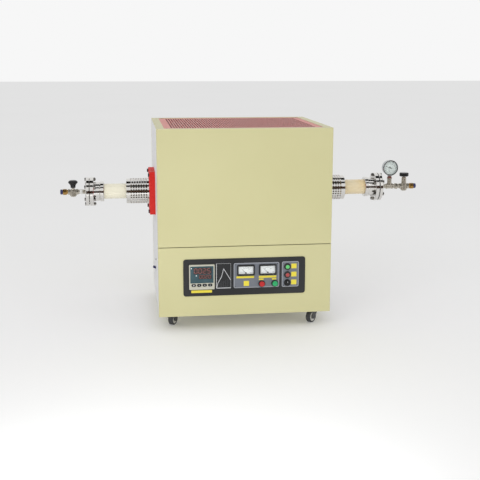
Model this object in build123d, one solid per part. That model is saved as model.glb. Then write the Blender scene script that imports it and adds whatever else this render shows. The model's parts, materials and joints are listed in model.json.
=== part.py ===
from build123d import *
import os
from math import asin, cos, degrees, floor, pi, radians, sin

# Horizontal tube furnace: a sheet-steel cabinet on casters, with a ceramic work tube lying through it,
# flanged and fitted with gas valves at both ends. Millimetres, +Z up, +X to the operator's right,
# +Y to the back. The cabinet is laid out about its own centre, with Z = 0 on the floor. The nodes are
# written about the middle of the whole footprint, because the gas fittings are longer on the right.

# --- cabinet ---
cabinet_width = 660.0
cabinet_depth = 580.0
cabinet_height = 710.0
control_box_height = 266.0  # from the cabinet's underside to the top of the lower front panel
panel_seam = 3.0  # open line between the lower and the upper front panel
sheet = 1.5  # cabinet panels
panel_fold = 22.0  # depth of the folded edge round the front and rear panels
panel_bend = 3.0  # outer bend radius
panel_joint = 1.0  # open line between a folded edge and the side panel
side_fold = 14.0
base_sheet = 2.0
base_upstand = 25.0
deck_sheet = 2.0
deck_flange = 20.0
nest_gap = 0.3  # between sheet parts that drop into one another
cut_past = 1.0  # how far a cut runs beyond the face that it opens

# --- top vent ---
rim_width = 30.0
grille_recess = 2.0
grille_sheet = 1.5
grille_ledge = 8.0
grille_margin = 24.0  # unpunched border of the grille
grille_hole = 10.0  # radius of a punched hexagon
grille_pitch = 30.0

# --- heating chamber ---
tube_axis_height = 441.0  # above the cabinet's underside
chamber_length = 470.0
chamber_depth = 340.0
chamber_above = 165.0  # height of the upper block above the tube's axis
cavity_length = 320.0
cavity_width = 130.0
cavity_below = 75.0
cavity_above = 85.0
element_radius = 4.5
element_leg_spacing = 40.0
element_row = 50.0  # distance of a row of elements from the tube's axis
element_pitch = 120.0
element_drop = 60.0  # how far the bend hangs below the tube's axis
element_terminal = 42.0  # how far a leg stands out above its holder
element_holder = (66.0, 22.0, 14.0)
thermocouple_radius = 5.0
thermocouple_offset = 42.0  # behind the tube's axis
thermocouple_head = (26.0, 18.0, 22.0)
thermocouple_corner = 3.0
bore_gap = 1.0  # round whatever passes through the insulation

# --- work tube ---
tube_radius = 30.0
tube_wall = 5.0
tube_length = 1130.0
plug_length = 110.0
plug_inner_end = 200.0  # from the middle of the tube
plug_gap = 0.3
plug_edge = 2.0

# --- tube plates on the side walls ---
plate_size = 168.0
plate_thickness = 22.0
plate_corner = 4.0
plate_edge = 1.5
plate_bolt_spacing = 144.0
wall_opening_radius = 50.0
guard_seat_depth = 3.0

# --- perforated guards round the tube ---
guard_radius = 50.0
guard_wall = 1.5
guard_length = 90.0  # visible length beyond the tube plate
guard_end_band = 14.0  # unpunched band at the open end
guard_hole = 5.5  # radius of a punched hexagon
guard_rows = 4
guard_holes_around = 16

# --- flanges on the tube's ends ---
sleeve_radius = 38.0
sleeve_grip = 35.0  # length of tube inside the sleeve
sleeve_lip_radius = 40.5
sleeve_lip_length = 14.0
sleeve_lip_edge = 1.5
sleeve_neck_depth = 1.5
sleeve_neck_length = 4.0
sleeve_gap = 0.5
flange_radius = 57.5
flange_thickness = 15.0
flange_edge = 1.0
flange_start = 5.0  # from the tube's end to the inner face of the flange disc
cover_thickness = 12.5
cover_edge = 2.0
gasket_thickness = 2.5
gasket_radii = (33.0, 42.0)
o_ring_size = 5.0
o_ring_gap = 0.05
flange_bolt_circle = 49.0  # radius
flange_bolt_count = 6

# --- fasteners ---
bolt_radius = 4.0
bolt_hole_gap = 0.5
bolt_flats = 13.0
bolt_head = 5.3
bolt_nut = 6.5
bolt_end = 2.0  # thread that shows beyond the nut

# --- gas fittings ---
pipe_radius = 8.5
thread_engagement = 6.0
left_nipple_length = 31.0
right_nipple_length = 27.0
tee_length = 28.0
tee_radius = 10.0
tee_branch_radius = 9.0
tee_branch_height = 34.0
tee_bead = 1.5
tee_bead_length = 4.0
valve_nipple_length = 28.0
nipple_hex_flats = 22.0
nipple_hex_length = 10.0
valve_length = 40.0
valve_end_flats = 21.0
valve_end_length = 9.0
valve_body_radius = 13.0
valve_body_below = 19.0
valve_body_edge = 4.0
valve_shoulder_edge = 2.0
valve_pipe_wall = 1.0
bonnet_cap_length = 5.0
bonnet_cap_taper = 2.0
left_valve_body_above = 8.0
right_valve_body_above = 11.0
left_bonnet_top = 14.0
right_bonnet_top = 37.0
left_bonnet_radius = 8.0
right_bonnet_radius = 10.0
stem_radius = 3.0
stem_below_axis = 4.0
shaft_end_gap = 1.0  # between the end of a shaft and the floor of its bore
stem_shoulder_radius = 4.5
valve_lift = 2.0
valve_lead = 1.0  # rise for one turn
left_knob_bottom = 16.5
left_knob_height = 30.0
left_knob_radius = 18.5
left_knob_skirt_radius = 9.5
left_knob_flutes = 8
flute_radius = 4.0
flute_depth = 1.8
# Share of the knob's height, and share of the swell from its skirt to its widest radius.
left_knob_profile = ((0, 0), (0.3, 0.09), (0.5, 0.5), (0.64, 1), (0.78, 1), (0.92, 0.67), (1, 0))
right_handle_bottom = 40.5
right_handle_height = 15.0
right_handle_radius = 18.7
right_handle_edge = 2.0
right_handle_flutes = 12
handle_flute_radius = 2.2
handle_flute_depth = 1.1
knob_wall_above_stem = 5.0
running_gap = 0.05  # radial, round shafts and pins
fitting_stub_length = 5.0
fitting_nut_length = 14.0
fitting_nut_flats = 22.0
collar_length = 11.0  # from the nut's face to the mouth of the fitting
collar_radius = 10.0
collar_edge = 1.5
collar_travel = 1.2
collar_clear = collar_travel + nest_gap  # open slot behind the collar
collar_sleeve_radius = 6.0
collar_sleeve_depth = 5.0
collar_seat_depth = 7.0
hose_radius = 4.1
hose_gap = 0.1
hose_depth = 9.0

# --- pressure gauge ---
gauge_height = 77.0  # above the tube's axis
gauge_radius = 31.0
gauge_depth = 26.0
gauge_wall = 2.5
gauge_bezel = 1.0
gauge_edge = 1.0
gauge_back_edge = 3.0
gauge_bezel_length = 4.0
gauge_dial_depth = 9.0  # from the front rim to the dial
gauge_boss_flats = 17.0
gauge_boss_drop = 3.0
adapter_radius = 6.5
gauge_pointer_length = 23.0
gauge_pointer_tail = 9.0
gauge_rest_angle = 162.0  # counterclockwise from the right, seen from the front
window_thickness = 2.0
window_set_back = 0.5
window_corner = 2.0

# --- control panel ---
fascia_width = 466.0
fascia_height = 143.0
fascia_thickness = 2.5
fascia_corner = 10.0
fascia_x = -4.0
fascia_z = 149.5  # centre, above the cabinet's underside
cutout_margin = 8.0  # how far the hole in the sheet stays inside the fascia
controller_x = -167.5
controller_z = 153.0
controller_size = 96.0
controller_proud = 8.0
controller_corner = 3.0
controller_edge = 1.2
controller_case = 90.0
controller_case_depth = 80.0
controller_window = (86.0, 56.0)
controller_window_z = 13.0  # above the controller's centre
key_size = (17.0, 11.0)
key_pitch = 20.7
key_drop = 30.5  # below the controller's centre
key_depth = 5.0
key_edge = 0.5
key_proud = 1.4
key_travel = 0.8
key_gap = 0.2
meter_x = (0.0, 84.0)
meter_z = 174.5
meter_size = (66.5, 41.5)
meter_proud = 8.0
meter_corner = 3.0
meter_edge = 1.0
meter_window = (57.5, 30.5)
meter_window_corner = 0.5
meter_recess = 7.0
meter_barrel_radius = 19.0
meter_barrel_depth = 38.0
meter_pivot_rise = 4.0  # above the window's lower edge
meter_pointer_length = 22.0
meter_pointer_tail = 2.0
meter_zero_angle = 45.0  # to the left of upright
pointer_width = 1.6
pointer_tail_width = 2.6
pointer_tip_width = 0.5
pointer_lift = 1.5  # how far a needle stands off its dial
pointer_thickness = 0.8
pointer_hub_radius = 3.0
pointer_hub_proud = 0.4
pointer_pin_radius = 1.0
pointer_pin_length = 3.0  # depth of the pin's hole
pointer_pin_gap = 0.5
button_x = (61.5, 111.5)
button_z = 119.7
button_radius = 10.0
button_proud = 8.0  # height of the cap
button_travel = 4.0
button_crown = 1.5
button_edge = 0.8
button_plunger_radius = 5.0
button_plunger_length = 16.0
switch_collar_radius = 13.0
switch_collar_proud = 5.5
switch_collar_edge = 1.0
switch_floor = 0.6  # floor of the well in the collar, above the fascia
switch_barrel_radius = 11.0
switch_barrel_depth = 30.0
button_gap = 0.4
switch_x = 159.8
lamp_z = (183.7, 152.0)
lamp_radius = 10.0
lamp_proud = 6.0
selector_z = 120.5
selector_radius = 9.0
selector_proud = 12.0
selector_grip_width = 6.0
selector_edge = 1.0
selector_clear = 1.0  # above the fascia
selector_shaft_radius = 3.0
selector_shaft_length = 12.0

# --- mains breaker on the left wall ---
breaker_y = -20.0
breaker_z = 125.0
breaker_case = (60.0, 36.0, 80.0)
breaker_window = (18.0, 40.0)
breaker_toggle_radius = 13.0
breaker_toggle_width = 14.0
breaker_lever = (13.0, 10.0, 8.0)
breaker_toggle_recess = 6.0
breaker_drum_proud = 0.5
breaker_lever_edge = 1.5
breaker_throw = 50.0  # degrees
breaker_pin_radius = 2.0
breaker_pin_end = 5.0  # beyond the drum

# --- cooling fan behind the control box ---
fan_x = -150.0
fan_z = 140.0
fan_size = 120.0
fan_corner = 6.0
fan_depth = 38.0
fan_bore_radius = 57.0
fan_tip_gap = 1.5
fan_hub_radius = 22.0
fan_hub_depth = 26.0
fan_hub_wall = 3.0  # closed end of the hub
fan_blades = 7
fan_blade_thickness = 2.0
fan_blade_pitch = 38.0  # degrees
fan_blade_reach = 0.95  # share of the hub's depth that a blade covers
fan_blade_root = 1.0  # inside the hub
fan_shaft_radius = 3.0
fan_struts = 3
fan_strut_width = 8.0
fan_strut_root = 2.0  # inside the frame's wall
fan_strut_depth = 5.0
fan_screw_spacing = 105.0
fan_screw_radius = 2.2
fan_guard_rings = (18.0, 30.0, 42.0, 54.0)
fan_guard_slot = 8.0
fan_guard_spokes = 4
fan_guard_spoke_width = 8.0
vent_slot_length = 90.0
vent_slot_width = 6.0
vent_slot_pitch = 20.0
vent_slot_rows = 5
vent_slot_x = 180.0
vent_slot_z = 330.0

# --- mains cable gland ---
gland_x = 230.0
gland_z = 70.0
gland_flats = 27.0
gland_nut_length = 7.0
gland_dome_radius = 12.5
gland_dome_length = 20.0
gland_dome_straight = 12.0
gland_mouth_wall = 2.5
gland_thread_radius = 10.0
gland_inner_length = 12.0
gland_inner_nut = 5.0
gland_bore_radius = 6.5

# --- casters ---
caster_height = 60.0
caster_inset_side = 46.0
caster_inset_end = 78.0
caster_trail = 22.0
caster_plate_size = 62.0
caster_plate_thickness = 3.0
wheel_radius = 24.0
wheel_width = 20.0
wheel_hub_width = 21.4
wheel_hub_radius = 9.0
wheel_web = 8.0
wheel_rim_wall = 5.0
wheel_edge = 2.5
axle_radius = 4.0
axle_end = 2.0  # rivet head outside each leg
fork_gap = 22.0  # between the legs
fork_leg = 3.0
fork_foot_radius = 9.0
fork_crown_radius = 16.0
fork_crown_thickness = 3.5
fork_leg_inset = 2.0
fork_leg_flare = 6.0
fork_clear = 2.5  # above the wheel
king_pin_radius = 5.0
king_pin_head_radius = 9.0
king_pin_head = 3.0
race_radius = 12.0
race_gap = 0.3
# The direction in which each wheel trails from its king pin, counterclockwise from +X.
caster_places = {
    "front_left": (-1, -1, 60.0),
    "front_right": (1, -1, 225.0),
    "rear_left": (-1, 1, 75.0),
    "rear_right": (1, 1, 110.0),
}

# --- levels and planes that several pieces share ---
underside = caster_height
base_top = underside + base_sheet
cabinet_top = underside + cabinet_height
deck_top = underside + control_box_height
half_width = cabinet_width / 2
half_depth = cabinet_depth / 2
inner_half_width = half_width - sheet
axis_z = underside + tube_axis_height
plate_face = half_width + plate_thickness
tube_end = tube_length / 2
flange_inner_face = tube_end + flange_start
flange_outer_face = flange_inner_face + flange_thickness
cover_inner_face = flange_outer_face + gasket_thickness
cover_face = cover_inner_face + cover_thickness
front_face = -half_depth
fascia_face = front_face - fascia_thickness
bolt_hole_radius = bolt_radius + bolt_hole_gap

# Along +X turned to point up, to the back, to the front and to the left.
UP = Rot(0, -90, 0)
BACK = Rot(0, 0, 90)
FRONT = Rot(0, 0, -90)
LEFT = Rot(0, 0, 180)
LOW = (Align.CENTER, Align.CENTER, Align.MIN)


def block(x_span, y_span, z_span):
    """A box given by its two limits along each axis."""
    spans = (x_span, y_span, z_span)
    centre = [(low + high) / 2 for low, high in spans]
    return Pos(*centre) * Box(*[high - low for low, high in spans])


def rod(start, end, radius):
    """A round bar along +X."""
    return Pos((start + end) / 2, 0, 0) * Rot(0, 90, 0) * Cylinder(radius, end - start)


def hexagon(start, end, flats):
    """A hexagonal bar along +X."""
    section = Plane.YZ * RegularPolygon(flats / 2, 6, major_radius=False)
    return Pos(start, 0, 0) * extrude(section, end - start)


def turned(*outline):
    """A solid turned about X from its (distance, radius) outline."""
    return revolve(make_face(Polyline(*outline, close=True)), Axis.X)


def bolt(grip):
    """Head, shank and nut of a bolt along +X, with its head's seat at 0."""
    head = hexagon(-bolt_head, 0, bolt_flats)
    nut = hexagon(grip, grip + bolt_nut, bolt_flats)
    return head + rod(-bolt_head / 2, grip + bolt_nut + bolt_end, bolt_radius) + nut


def pair(piece):
    """The piece on the right and its mirror image on the left."""
    return [piece, mirror(piece, about=Plane.YZ)]


def on_axis(piece):
    return Pos(0, 0, axis_z) * piece


def panel_place(x, z):
    """A point of the front panel, from the cabinet's centre and underside."""
    return Pos(x, 0, underside + z)


# --- cabinet panels ---


def folded_panel(width, height):
    """A sheet with folded edges: its face at y = 0, its folds running back, standing on z = 0."""
    standing = (Align.CENTER, Align.MIN, Align.MIN)
    outer = Box(width, panel_fold, height, align=standing)
    outer = fillet(outer.edges().filter_by(Axis.Z).group_by(Axis.Y)[0], panel_bend)
    inner = Box(width - 2 * sheet, panel_fold, height - 2 * sheet, align=standing)
    inner = fillet(inner.edges().filter_by(Axis.Z).group_by(Axis.Y)[0], panel_bend - sheet)
    return outer - Pos(0, sheet, sheet) * inner


def make_base_pan():
    floor_plate = block((-half_width, half_width), (-half_depth, half_depth), (underside, base_top))
    floor_plate = fillet(floor_plate.edges().filter_by(Axis.Z), panel_bend)
    reach_x = inner_half_width - nest_gap
    reach_y = half_depth - panel_fold - nest_gap
    upstand_top = base_top + base_upstand
    upstand = block((-reach_x, reach_x), (-reach_y, reach_y), (base_top, upstand_top))
    well_x = reach_x - base_sheet
    well_y = reach_y - base_sheet
    upstand -= block((-well_x, well_x), (-well_y, well_y), (base_top, upstand_top))
    pan = floor_plate + upstand
    for king_pin, _ in caster_points.values():
        plate = Pos(*king_pin, underside) * Box(
            caster_plate_size,
            caster_plate_size,
            caster_plate_thickness,
            align=(Align.CENTER, Align.CENTER, Align.MAX),
        )
        pan += plate
    bore = Cylinder(king_pin_radius + running_gap, 4 * caster_plate_thickness)
    for king_pin, _ in caster_points.values():
        pan -= Pos(*king_pin, underside) * bore
    return pan


def make_deck():
    reach_x = inner_half_width - nest_gap
    reach_y = half_depth - panel_fold - nest_gap
    tray = block((-reach_x, reach_x), (-reach_y, reach_y), (deck_top - deck_flange, deck_top))
    well_x = reach_x - deck_sheet
    well_y = reach_y - deck_sheet
    well_z = (deck_top - deck_flange, deck_top - deck_sheet)
    return tray - block((-well_x, well_x), (-well_y, well_y), well_z)


def make_lower_front_panel():
    panel = Pos(0, front_face, base_top) * folded_panel(cabinet_width, deck_top - base_top)
    half_cut = fascia_width / 2 - cutout_margin
    half_drop = fascia_height / 2 - cutout_margin
    middle = underside + fascia_z
    return panel - block(
        (fascia_x - half_cut, fascia_x + half_cut),
        (front_face - sheet, front_face + 2 * sheet),
        (middle - half_drop, middle + half_drop),
    )


def make_upper_front_panel():
    bottom = deck_top + panel_seam
    return Pos(0, front_face, bottom) * folded_panel(cabinet_width, cabinet_top - sheet - bottom)


def make_side_panel():
    """The right-hand panel: a flat sheet with its top, front and rear edges folded inwards."""
    reach = half_depth - panel_fold - panel_joint
    top = cabinet_top - sheet
    panel = block((inner_half_width, half_width), (-reach, reach), (base_top, top))
    inner = half_width - side_fold
    panel += block((inner, half_width), (-reach, reach), (top - sheet, top))
    for side in (-1, 1):
        edge = sorted((side * reach, side * (reach - sheet)))
        panel += block((inner, half_width), edge, (base_top + base_upstand + nest_gap, top))
    panel -= block(
        (inner - sheet, inner_half_width),
        (-half_depth, half_depth),
        (deck_top - deck_flange - nest_gap, deck_top + nest_gap),
    )
    panel -= on_axis(rod(inner, half_width + sheet, wall_opening_radius))
    half_spacing = plate_bolt_spacing / 2
    for y in (-half_spacing, half_spacing):
        for z in (-half_spacing, half_spacing):
            panel -= on_axis(Pos(0, y, z) * rod(inner, half_width + sheet, bolt_hole_radius))
    return panel


def make_left_side_panel():
    panel = mirror(make_side_panel(), about=Plane.YZ)
    half_y = breaker_window[0] / 2
    half_z = breaker_window[1] / 2
    middle = underside + breaker_z
    return panel - block(
        (-half_width - sheet, -half_width + 2 * sheet),
        (breaker_y - half_y, breaker_y + half_y),
        (middle - half_z, middle + half_z),
    )


def fan_guard_cut():
    """Ring slots broken by diagonal spokes, along +Y."""
    depth = 4 * sheet
    half_slot = fan_guard_slot / 2
    rings = [Circle(radius + half_slot) - Circle(radius - half_slot) for radius in fan_guard_rings]
    slots = Sketch() + rings
    bar = Rectangle(fan_size * 2, fan_guard_spoke_width)
    spokes = [Rot(0, 0, 45 + 360 * index / fan_guard_spokes) * bar for index in range(fan_guard_spokes // 2)]
    slots -= Sketch() + spokes
    return extrude(Plane.XZ * slots, depth / 2, both=True)


def make_rear_panel():
    bottom = base_top
    panel = Pos(0, half_depth, bottom) * Rot(0, 0, 180)
    panel = panel * folded_panel(cabinet_width, cabinet_top - sheet - bottom)
    panel -= Pos(fan_x, half_depth, underside + fan_z) * fan_guard_cut()
    gland_hole = BACK * rod(-sheet, 2 * sheet, gland_thread_radius)
    panel -= Pos(gland_x, half_depth - sheet, underside + gland_z) * gland_hole
    slot = extrude(Plane.XZ * SlotOverall(vent_slot_length, vent_slot_width), 2 * sheet, both=True)
    for x in (-vent_slot_x, vent_slot_x):
        for row in range(vent_slot_rows):
            panel -= Pos(x, half_depth, underside + vent_slot_z + row * vent_slot_pitch) * slot
    return panel


def ring_frame(outer, inner, z_span):
    """A rectangular ring given by the half sizes of its outer and inner edges."""
    plate = block((-outer[0], outer[0]), (-outer[1], outer[1]), z_span)
    through = (z_span[0] - cut_past, z_span[1] + cut_past)
    return plate - block((-inner[0], inner[0]), (-inner[1], inner[1]), through)


def make_top_frame():
    opening = (half_width - rim_width, half_depth - rim_width)
    lip = (opening[0] + sheet, opening[1] + sheet)
    ledge = (opening[0] - grille_ledge, opening[1] - grille_ledge)
    ledge_top = cabinet_top - grille_recess - grille_sheet
    rim = ring_frame((half_width, half_depth), opening, (cabinet_top - sheet, cabinet_top))
    rim = fillet(rim.edges().filter_by(Axis.Z).group_by(Axis.X)[0], panel_bend)
    rim = fillet(rim.edges().filter_by(Axis.Z).group_by(Axis.X)[-1], panel_bend)
    rim += ring_frame(lip, opening, (ledge_top - sheet, cabinet_top))
    return rim + ring_frame(lip, ledge, (ledge_top - sheet, ledge_top))


def make_top_grille():
    half_x = half_width - rim_width - nest_gap
    half_y = half_depth - rim_width - nest_gap
    top = cabinet_top - grille_recess
    plate = block((-half_x, half_x), (-half_y, half_y), (top - grille_sheet, top))
    columns = floor((2 * (half_x - grille_margin) - 2 * grille_hole) / grille_pitch) + 1
    rows = floor((2 * (half_y - grille_margin) - 2 * grille_hole) / grille_pitch) + 1
    holes = GridLocations(grille_pitch, grille_pitch, columns, rows) * RegularPolygon(grille_hole, 6)
    return plate - Pos(0, 0, top - 2 * grille_sheet) * extrude(Sketch() + holes, 3 * grille_sheet)


# --- heating chamber ---


def element_places():
    """Middle of each heating element, seen from above."""
    return [(x, y) for x in (-element_pitch / 2, element_pitch / 2) for y in (-element_row, element_row)]


def chamber_block(z_span, cavity_span):
    """A block of fibre board with its part of the heated cavity and of the tube's bore."""
    half_x = chamber_length / 2
    half_y = chamber_depth / 2
    cavity_x = cavity_length / 2
    cavity_y = cavity_width / 2
    body = block((-half_x, half_x), (-half_y, half_y), z_span)
    body -= block((-cavity_x, cavity_x), (-cavity_y, cavity_y), cavity_span)
    return body - on_axis(rod(-chamber_length, chamber_length, tube_radius + bore_gap))


def make_chamber_lower():
    return chamber_block((deck_top, axis_z), (axis_z - cavity_below, axis_z + cut_past))


def make_chamber_upper():
    body = chamber_block((axis_z, axis_z + chamber_above), (axis_z - cut_past, axis_z + cavity_above))
    through = chamber_above + cut_past
    slot_width = 2 * (element_radius + bore_gap)
    slot = Box(element_leg_spacing + slot_width, slot_width, through, align=LOW)
    for x, y in element_places():
        body -= Pos(x, y, axis_z) * slot
    bore = Cylinder(thermocouple_radius + bore_gap, through, align=LOW)
    return body - Pos(0, thermocouple_offset, axis_z) * bore


def make_heating_elements():
    """Hairpin elements hung from ceramic holders that stand on the upper block."""
    block_top = axis_z + chamber_above
    top = block_top + element_holder[2] + element_terminal
    bend = element_leg_spacing / 2
    low = axis_z - element_drop + bend
    solids = []
    for x, y in element_places():
        left_leg = Line((x - bend, y, top), (x - bend, y, low))
        turn = ThreePointArc((x - bend, y, low), (x, y, low - bend), (x + bend, y, low))
        right_leg = Line((x + bend, y, low), (x + bend, y, top))
        path = Wire([left_leg, turn, right_leg])
        section = Plane(origin=(x - bend, y, top), z_dir=(0, 0, -1)) * Circle(element_radius)
        hairpin = sweep(section, path=path)
        holder = Pos(x, y, block_top) * Box(*element_holder, align=LOW)
        for leg in (x - bend, x + bend):
            holder -= Pos(leg, y, block_top) * Cylinder(element_radius + running_gap, 3 * element_holder[2])
        solids += [hairpin, holder]
    return solids


def make_thermocouple():
    block_top = axis_z + chamber_above
    tip = axis_z + thermocouple_radius
    sheath = Pos(0, thermocouple_offset, tip) * Cylinder(thermocouple_radius, block_top - tip, align=LOW)
    head = Pos(0, thermocouple_offset, block_top) * Box(*thermocouple_head, align=LOW)
    return sheath + fillet(head.edges().filter_by(Axis.Z), thermocouple_corner)


# --- tube, plates and guards ---


def make_process_tube():
    inner = tube_radius - tube_wall
    tube = turned((-tube_end, inner), (-tube_end, tube_radius), (tube_end, tube_radius), (tube_end, inner))
    return on_axis(tube)


def make_tube_plugs():
    radius = tube_radius - tube_wall - plug_gap
    plug = chamfer(rod(plug_inner_end, plug_inner_end + plug_length, radius).edges(), plug_edge)
    return pair(on_axis(plug))


def corner_places(spacing):
    half = spacing / 2
    return [(y, z) for y in (-half, half) for z in (-half, half)]


def make_tube_plates():
    half = plate_size / 2
    plate = block((half_width, plate_face), (-half, half), (-half, half))
    plate = fillet(plate.edges().filter_by(Axis.X), plate_corner)
    plate = chamfer(plate.faces().sort_by(Axis.X)[-1].outer_wire().edges(), plate_edge)
    through = (half_width - cut_past, plate_face + cut_past)
    plate -= rod(*through, tube_radius + bore_gap)
    plate -= rod(plate_face - guard_seat_depth, plate_face + cut_past, guard_radius + nest_gap)
    for y, z in corner_places(plate_bolt_spacing):
        plate -= Pos(0, y, z) * rod(*through, bolt_hole_radius)
    return pair(on_axis(plate))


def make_plate_bolts():
    grip = plate_thickness + sheet
    solids = []
    for y, z in corner_places(plate_bolt_spacing):
        solids += pair(on_axis(Pos(plate_face, y, z) * LEFT * bolt(grip)))
    return solids


def make_tube_guards():
    start = plate_face - guard_seat_depth
    end = plate_face + guard_length
    inner = guard_radius - guard_wall
    guard = turned((start, inner), (start, guard_radius), (end, guard_radius), (end, inner))
    first = plate_face + guard_hole + guard_wall
    last = end - guard_end_band - guard_hole
    prism = Pos(0, 0, -2 * guard_radius) * extrude(RegularPolygon(guard_hole, 6), 4 * guard_radius)
    cutters = []
    for row in range(guard_rows):
        x = first + (last - first) * row / (guard_rows - 1)
        for index in range(guard_holes_around // 2):
            cutters.append(Pos(x, 0, 0) * Rot(360 * index / guard_holes_around, 0, 0) * prism)
    return pair(on_axis(guard - cutters))


# --- flanges ---


def flange_bolt_places():
    """Bolts on their circle, one of them straight above the tube."""
    step = 2 * pi / flange_bolt_count
    angles = [pi / 2 + index * step for index in range(flange_bolt_count)]
    return [(flange_bolt_circle * cos(a), flange_bolt_circle * sin(a)) for a in angles]


def make_flange_sleeves():
    """A socket over the tube's end, with a lip, an O-ring groove and a bolted disc."""
    start = tube_end - sleeve_grip
    bore = tube_radius + sleeve_gap
    groove = tube_radius + o_ring_size - o_ring_gap
    groove_start = start + sleeve_lip_length
    groove_end = groove_start + o_ring_size
    neck = sleeve_radius - sleeve_neck_depth
    sleeve = turned(
        (start, bore),
        (start, sleeve_lip_radius - sleeve_lip_edge),
        (start + sleeve_lip_edge, sleeve_lip_radius),
        (groove_start, sleeve_lip_radius),
        (groove_start, neck),
        (groove_start + sleeve_neck_length, sleeve_radius),
        (flange_inner_face, sleeve_radius),
        (flange_inner_face, flange_radius - flange_edge),
        (flange_inner_face + flange_edge, flange_radius),
        (flange_outer_face - flange_edge, flange_radius),
        (flange_outer_face, flange_radius - flange_edge),
        (flange_outer_face, bore),
        (groove_end, bore),
        (groove_end, groove),
        (groove_start, groove),
        (groove_start, bore),
    )
    for y, z in flange_bolt_places():
        hole = rod(flange_inner_face - cut_past, flange_outer_face + cut_past, bolt_hole_radius)
        sleeve -= Pos(0, y, z) * hole
    return pair(on_axis(sleeve))


def make_end_covers():
    """The blind disc that closes the tube, with a threaded boss for the gas pipe."""
    cover = turned(
        (cover_inner_face, 0),
        (cover_inner_face, flange_radius - flange_edge),
        (cover_inner_face + flange_edge, flange_radius),
        (cover_face - cover_edge, flange_radius),
        (cover_face, flange_radius - cover_edge),
        (cover_face, 0),
    )
    cover -= rod(cover_face - thread_engagement, cover_face + cut_past, pipe_radius)
    for y, z in flange_bolt_places():
        cover -= Pos(0, y, z) * rod(cover_inner_face - cut_past, cover_face + cut_past, bolt_hole_radius)
    return pair(on_axis(cover))


def make_flange_bolts():
    grip = cover_face - flange_inner_face
    solids = []
    for y, z in flange_bolt_places():
        solids += pair(on_axis(Pos(cover_face, y, z) * LEFT * bolt(grip)))
    return solids


def make_flange_seals():
    """An O-ring squeezed round the tube, and a flat gasket between the discs, at both ends."""
    start = tube_end - sleeve_grip + sleeve_lip_length
    inner = tube_radius + o_ring_gap
    outer = tube_radius + o_ring_size - 2 * o_ring_gap
    low = start + o_ring_gap
    high = start + o_ring_size - o_ring_gap
    o_ring = turned((low, inner), (low, outer), (high, outer), (high, inner))
    near, far = gasket_radii
    gasket = turned(
        (flange_outer_face, near),
        (flange_outer_face, far),
        (cover_inner_face, far),
        (cover_inner_face, near),
    )
    return pair(on_axis(o_ring)) + pair(on_axis(gasket))


# --- gas line: every place is a distance from the cabinet's centre, outwards ---

left_valve_start = cover_face + left_nipple_length
left_valve_x = left_valve_start + valve_length / 2
left_fitting_start = left_valve_start + valve_length
tee_start = cover_face + right_nipple_length
tee_x = tee_start + tee_length / 2
right_valve_start = tee_start + tee_length + valve_nipple_length
right_valve_x = right_valve_start + valve_length / 2
right_fitting_start = right_valve_start + valve_length
fitting_length = fitting_stub_length + fitting_nut_length


def nipple(start, end, hexed=False):
    """A pipe screwed into its neighbours at both ends, some with a spanner hexagon in the middle."""
    piece = rod(start - thread_engagement, end + thread_engagement, pipe_radius)
    if hexed:
        middle = (start + end) / 2
        piece += hexagon(middle - nipple_hex_length / 2, middle + nipple_hex_length / 2, nipple_hex_flats)
    return piece


def make_tee():
    end = tee_start + tee_length
    tee = rod(tee_start, end, tee_radius)
    tee += rod(tee_start, tee_start + tee_bead_length, tee_radius + tee_bead)
    tee += rod(end - tee_bead_length, end, tee_radius + tee_bead)
    branch = rod(0, tee_branch_height, tee_branch_radius)
    branch_bead = tee_branch_height - tee_bead_length
    branch += rod(branch_bead, tee_branch_height, tee_branch_radius + tee_bead)
    tee += Pos(tee_x, 0, 0) * UP * branch
    tee -= rod(tee_start - cut_past, tee_start + thread_engagement, pipe_radius)
    tee -= rod(end - thread_engagement, end + cut_past, pipe_radius)
    socket = rod(tee_branch_height - thread_engagement, tee_branch_height + cut_past, adapter_radius)
    return tee - Pos(tee_x, 0, 0) * UP * socket


def make_pipe_fittings():
    """The nipples, the tee and the brass adapter under the gauge."""
    left = nipple(cover_face, left_valve_start)
    right = nipple(cover_face, tee_start)
    to_valve = nipple(tee_start + tee_length, right_valve_start, hexed=True)
    low = tee_branch_height - thread_engagement
    high = gauge_height - gauge_radius - gauge_boss_drop
    adapter = Pos(tee_x, 0, 0) * UP * rod(low, high, adapter_radius)
    return [on_axis(piece) for piece in (mirror(left, about=Plane.YZ), right, to_valve, make_tee(), adapter)]


def valve_body(body_above, bonnet_top, bonnet_radius):
    """A needle valve's body about its own middle: hexagon ends, a round core and a bonnet with its nut."""
    half = valve_length / 2
    core = UP * turned(
        (-valve_body_below, 0),
        (-valve_body_below, valve_body_radius - valve_body_edge),
        (-valve_body_below + valve_body_edge, valve_body_radius),
        (body_above - valve_shoulder_edge, valve_body_radius),
        (body_above, valve_body_radius - valve_shoulder_edge),
        (body_above, bonnet_radius),
        (bonnet_top - bonnet_cap_length, bonnet_radius),
        (bonnet_top, bonnet_radius - bonnet_cap_taper),
        (bonnet_top, 0),
    )
    body = core + rod(-half, half, pipe_radius + valve_pipe_wall)
    body += hexagon(-half, valve_end_length - half, valve_end_flats)
    body += hexagon(half - valve_end_length, half, valve_end_flats)
    body -= rod(-half - cut_past, thread_engagement - half, pipe_radius)
    body -= rod(half - thread_engagement, half + cut_past, pipe_radius)
    bore_floor = -stem_below_axis - shaft_end_gap
    return body - UP * rod(bore_floor, bonnet_top + cut_past, stem_radius + running_gap)


def make_valve_bodies():
    left = valve_body(left_valve_body_above, left_bonnet_top, left_bonnet_radius)
    right = valve_body(right_valve_body_above, right_bonnet_top, right_bonnet_radius)
    return [on_axis(Pos(-left_valve_x, 0, 0) * left), on_axis(Pos(right_valve_x, 0, 0) * right)]


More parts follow.
